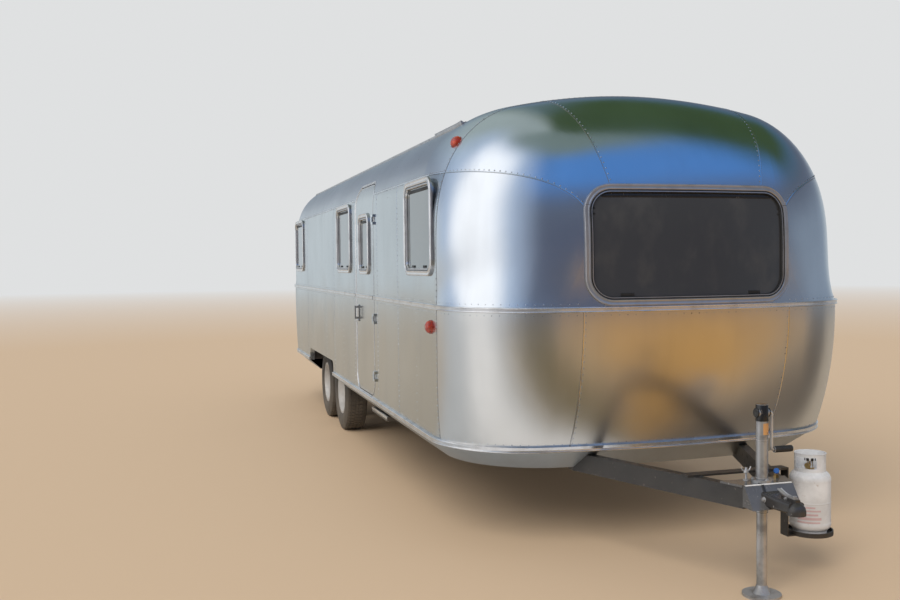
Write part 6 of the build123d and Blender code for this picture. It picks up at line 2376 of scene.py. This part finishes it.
@dataclass
class GasBottle(Assembly):
    """Weld seam, collar, valve, knob and blank label of the gas bottle."""

    aside: float = 0.450
    place: float = -0.350
    radius: float = 0.100
    seam: float = 0.358
    neck: float = 0.516
    collar: float = 0.5995
    label: Pair = (0.262, 0.345)
    worn_bands: tuple[tuple[float, float, float], ...] = (
        (0.0, 0.10, -98), (0.20, 0.36, -94), (0.46, 0.58, -104), (0.70, 0.80, -96), (0.90, 1.0, -112))

    def build(self) -> None:
        """Make the pieces on the bottle."""
        foot = Vector((self.aside, self.at(self.place), 0.0))
        up = (0, 0, 1)
        seam = lathe([(self.radius - 0.001, self.seam - 0.006), (self.radius + 0.0010, self.seam - 0.003),
                      (self.radius + 0.0016, self.seam), (self.radius + 0.0010, self.seam + 0.003),
                      (self.radius - 0.001, self.seam + 0.006)], 64, foot, up)
        z = self.collar
        collar = lathe([(0.0745, z), (0.0775, z), (0.0785, z + 0.0016), (0.0775, z + 0.0032),
                        (0.0745, z + 0.0032), (0.0745, z)], 48, foot, up)
        self.shop.piece("bottle_seams", joined([seam, collar]), "bottle_paint", Slot.BOTTLE_PAINT)
        low, high = self.label
        tall = high - low
        bands = [sleeve(foot, self.radius + 0.0004, low + tall * start, low + tall * end, (-162, turn))
                 for start, end, turn in self.worn_bands]
        self.shop.piece("bottle_label", joined(bands), "faded_label", Slot.BOTTLE_PAINT)
        neck = foot + Vector((0, 0, self.neck))
        block = [(0.024, 0.0), (0.024, 0.008), (0.0165, 0.010), (0.0165, 0.044), (0.0125, 0.0445)]
        spout = [(0, 0.0), (0.0105, 0.0), (0.0105, 0.020), (0.013, 0.020), (0.013, 0.032), (0, 0.032)]
        mouth = neck + Vector((-0.012, -0.008, 0.026))
        valve = [lathe(block, 6, neck, up), lathe(spout, 16, mouth, (-0.82, -0.57, 0.0))]
        self.shop.piece("bottle_valve", joined(valve), "brass", Slot.BOTTLE_PAINT)
        lobes = [(math.cos(turn) * (0.0268 + 0.0014 * math.cos(7 * turn)),
                  math.sin(turn) * (0.0268 + 0.0014 * math.cos(7 * turn)))
                 for turn in np.linspace(0, 2 * math.pi, 56, endpoint=False)]
        points = [neck + Vector((x * share, y * share, z))
                  for share, z in ((1, 0.0455), (1, 0.0585), (0.86, 0.0615)) for x, y in lobes]
        size = len(lobes)
        faces = [tuple(level * size + k for k in (i, (i + 1) % size)) + tuple(
            (level + 1) * size + k for k in ((i + 1) % size, i)) for level in (0, 1) for i in range(size)]
        faces += [tuple(range(2 * size, 3 * size)), tuple(reversed(range(size)))]
        self.shop.piece("bottle_knob", (points, faces), "jack_head", Slot.BOTTLE_PAINT)


@dataclass
class RunningGear(Assembly):
    """Brackets and bolts that hold the axles to the rails."""

    places: Pair = (4.620, 5.480)
    trail: float = 0.150
    rail: float = 0.560
    axle_z: float = 0.413
    half_tube: float = 0.038
    pan: float = 0.451

    def build(self) -> None:
        """Make the brackets of both axles."""
        plates, bolts = [], []
        for place in self.places:
            y = self.at(place) - self.trail
            for side in (-1, 1):
                x = side * self.rail
                for way in (-1, 1):
                    edge = y + way * self.half_tube
                    for reach, foot in ((0.008, self.axle_z - 0.020), (0.055, self.pan - 0.007)):
                        low, high = sorted((edge, edge + way * reach))
                        plates.append(bar((x - 0.035, low, foot), (x + 0.035, high, self.pan), 0.002))
                    bolts.append(bolt((x, edge + way * 0.032, self.pan - 0.007), (0, 0, -1), 0.0095, 1.4))
                    bolts.append(bolt((x, edge + way * 0.008, self.axle_z), (0, way, 0), 0.0085, 1.4))
        self.shop.piece("axle_brackets", joined(plates), "chassis_black", Slot.CHASSIS_BLACK)
        self.shop.piece("axle_bolts", joined(bolts), "jack_steel", Slot.CHASSIS_BLACK)


@dataclass
class RoofFittings(Assembly):
    """Louvres and screws of the roof cooler, ribs of the vent lids and rivets round their curbs."""

    slots: int = 6
    slot_low: float = 2.580
    slot_pitch: float = 0.0125
    vents: tuple[tuple[str, float, float], ...] = (("front", -0.380, 4.950), ("rear", 0.0, 6.350))
    flange: float = 0.222
    screw_z: float = 2.556
    above: float = 4.0
    lid_half: float = 0.172
    rib_half: float = 0.155
    rib_shifts: tuple[float, ...] = (-0.11, -0.037, 0.037, 0.11)

    def build(self) -> None:
        """Make the pieces on the roof."""
        cooler = self.seat("roof_cooler")
        low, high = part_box("roof_cooler")
        middle, half = (low.y + high.y) / 2, (high.y - low.y) / 2
        slat = Ribbon(((-0.0036, -0.001), (-0.0036, 0.0004), (0.0036, 0.0004), (0.0036, -0.001)))
        lip = Ribbon(((0.0036, -0.001), (0.0036, 0.0030), (0.0052, 0.0036), (0.0062, 0.0), (0.0062, -0.001)))
        dark, lips = [], []
        for side in (-1, 1):
            for bank in (-1, 1):
                for index in range(self.slots):
                    z = self.slot_low + index * self.slot_pitch
                    ends = sorted((middle + bank * 0.05, middle + bank * (half - 0.16)))
                    line = [(side * 2.0, end, z) for end in ends]
                    trace = cooler.trace(Route.pressed(line, Facing.onto_side(side)), 0.03)
                    dark.append(slat.mesh(trace))
                    lips.append(lip.mesh(trace, hand=-side))
        for index in range(self.slots + 1):
            z = self.slot_low + index * self.slot_pitch
            line = Route.pressed([(-0.20, self.body.tail, z), (0.20, self.body.tail, z)], Facing.FROM_REAR)
            trace = cooler.trace(line, 0.03)
            dark.append(slat.mesh(trace))
            lips.append(lip.mesh(trace))
        self.shop.piece("cooler_slots", joined(dark), "gasket", Slot.ROOF_PLASTIC)
        self.shop.piece("cooler_louvre_lips", joined(lips), "roof_plastic", Slot.ROOF_PLASTIC)
        heads = []
        for side in (-1, 1):
            for y in (middle - half + 0.12, middle, middle + half - 0.12):
                spot = cooler.hit((side * 2.0, y, self.screw_z), (-side, 0, 0))
                heads.append(screw(spot[0], spot[1], 0.006))
        self.shop.piece("cooler_screws", joined(heads), "handle", Slot.ROOF_PLASTIC)
        rivets = Rivets()
        for name, x, place in self.vents:
            self._lid(name, x, self.at(place))
            y = self.at(place)
            span = (-self.flange, self.flange)
            ring = [(x + a, y + b, self.above) for a, b in outline(span, span, 0.02, 0.05)]
            spots = [self.shop.skin.hit(start, (0, 0, -1)) for start in ring]
            rivets.add(even([spot for spot in spots if spot is not None], 0.05))
        self.shop.piece("vent_rivets", rivets.mesh(), "rivet", Slot.SKIN)

    def _lid(self, name: str, x: float, y: float) -> None:
        """Moulded ribs on a vent lid.

        Args:
            name: name of the lid.
            x: its middle across the roof.
            y: its middle along the roof.
        """
        lid = self.seat(f"vent_lid_{name}")
        rib = Ribbon(((-0.006, -0.001), (-0.005, 0.0028), (-0.003, 0.0038), (0.003, 0.0038), (0.005, 0.0028),
                      (0.006, -0.001)))
        parts = []
        for shift in self.rib_shifts:
            line = [(x + shift, y + end * self.rib_half, self.above) for end in (-1, 1)]
            parts.append(rib.mesh(lid.trace(Route.pressed(line, Facing.FROM_ABOVE), 0.02)))
        span = (-self.lid_half, self.lid_half)
        line = [(x + a, y + b, self.above) for a, b in outline(span, span, 0.03, 0.02)]
        spots = [spot for spot in (lid.hit(start, (0, 0, -1)) for start in line) if spot is not None]
        parts.append(Ribbon(rib.section, closed=True).mesh(spots))
        body = Body.VENT_LID_FRONT if name == "front" else Body.VENT_LID_REAR
        self.shop.piece(f"vent_lid_ribs_{name}", joined(parts), "roof_plastic", Slot.ROOF_PLASTIC, body)


@dataclass
class RoofRail(Assembly):
    """Light drip rail along the roof's edge over the door, with a deeper length at its front."""

    edge: Pair = (-0.978, 2.389)
    way: Point = (0.46, 0.0, -0.888)
    run: tuple[float, float, float] = (0.900, 1.490, 6.860)
    lip: Section = (
        (-0.011, -0.002), (-0.011, 0.0022), (-0.004, 0.0030), (0.0, 0.0050), (0.0030, 0.0105),
        (0.0055, 0.0125), (0.0080, 0.0110), (0.0095, 0.0060), (0.0110, 0.0030), (0.0110, -0.002))

    def build(self) -> None:
        """Make both lengths of the rail."""
        front, joint, rear = (self.at(place) for place in self.run)
        thin = self._line(joint, rear)
        deep = self._line(front, joint - 0.004)
        tall = [(across * 1.5, rise * 1.9 if rise > 0 else rise) for across, rise in self.lip]
        rail = joined([Ribbon(self.lip).mesh(thin), Ribbon(tall).mesh(deep)])
        self.shop.piece("roof_rail", rail, "window_rim", Slot.TRIM)

    def _line(self, front: float, rear: float) -> list[Spot]:
        """Places along the roof's edge.

        Args:
            front: position of its front end.
            rear: position of its rear end.

        Returns:
            Places with their normals.
        """
        x, z = self.edge
        way_x, _, way_z = self.way
        route = Route((((x - way_x * 0.5, front, z - way_z * 0.5), self.way),
                       ((x - way_x * 0.5, rear, z - way_z * 0.5), self.way)))
        return self.shop.skin.trace(route, 0.06)


@dataclass
class StepAndBumper(Assembly):
    """Tread ribs and nosing of the entry step, and bolts of the rear bumper."""

    ribs: int = 11
    reach: float = 0.250
    bolts: tuple[float, ...] = (0.545, 0.575, 0.94)
    deck: tuple[float, float, float] = (0.56, 0.40, 0.08)

    def build(self) -> None:
        """Make the pieces on the step and on the bumper."""
        low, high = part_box("entry_step")
        parts = []
        for index in range(self.ribs):
            x = low.x + 0.022 + (self.reach - 0.034) * index / (self.ribs - 1)
            parts.append(bar((x - 0.004, low.y + 0.012, high.z - 0.001),
                             (x + 0.004, high.y - 0.012, high.z + 0.002), 0.0012))
        self.shop.piece("step_tread", joined(parts), "grip", Slot.STEP_BLACK, Body.ENTRY_STEP)
        nosing = bar((low.x - 0.0015, low.y + 0.004, high.z - 0.018),
                     (low.x + 0.010, high.y - 0.004, high.z + 0.0025), 0.0014)
        self.shop.piece("step_nosing", nosing, "trim", Slot.STEP_BLACK, Body.ENTRY_STEP)
        bumper = self.seat("rear_bumper")
        heads = []
        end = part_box("rear_bumper")[1].y
        for side in (-1, 1):
            for x in self.bolts:
                spot = bumper.hit((side * x, end - 0.030, 2.0), (0, 0, -1))
                heads.append(bolt(spot[0], spot[1], 0.009, 1.4))
        self.shop.piece("bumper_bolts", joined(heads), "jack_steel", Slot.BUMPER)
        rows = Rivets()
        aside, far, near = self.deck
        for side in (-1, 1):
            line = [(side * aside, end - far, 2.0), (side * aside, end - near, 2.0)]
            rows.add(even(bumper.trace(Route.pressed(line, Facing.FROM_ABOVE), 0.03), 0.05))
        self.shop.piece("deck_rivets", rows.mesh(), "rivet", Slot.BUMPER)


def main() -> None:
    """Build the caravan's looks around its frame."""
    logging.basicConfig(level=logging.INFO, format="%(name)s: %(message)s")
    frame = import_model()
    body = Frame.read()
    shop = Workshop(frame)
    Nodes(shop).dress()
    Studio(body).build()
    Shell(shop, body).build()
    EndWindow(shop, body, 1, "front").build()
    EndWindow(shop, body, -1, "rear").build()
    SideWindows(shop, body).build()
    Trims(shop, body).build()
    MarkerLamps(shop, body).build()
    PanelDoor(shop, body, -1, "door_panel", Body.ENTRY_DOOR, 2.400, 3.080, 0.606, 2.165, 0.120,
              has_jamb=True).build()
    PanelDoor(shop, body, 1, "service_hatch", Body.SERVICE_HATCH, 2.500, 3.120, 0.700, 1.080, 0.040).build()
    for assembly in (DoorFittings, HatchLatches, TailLamps, Drawbar, NoseJack, GasBottle, RunningGear,
                     RoofFittings, RoofRail, StepAndBumper):
        assembly(shop, body).build()
    for row in ("front", "rear"):
        for side in ("right", "left"):
            Tyre(shop, f"{row}_{side}").build()
            WheelTrim(shop, f"{row}_{side}").build()


if __name__ == "__main__":
    main()
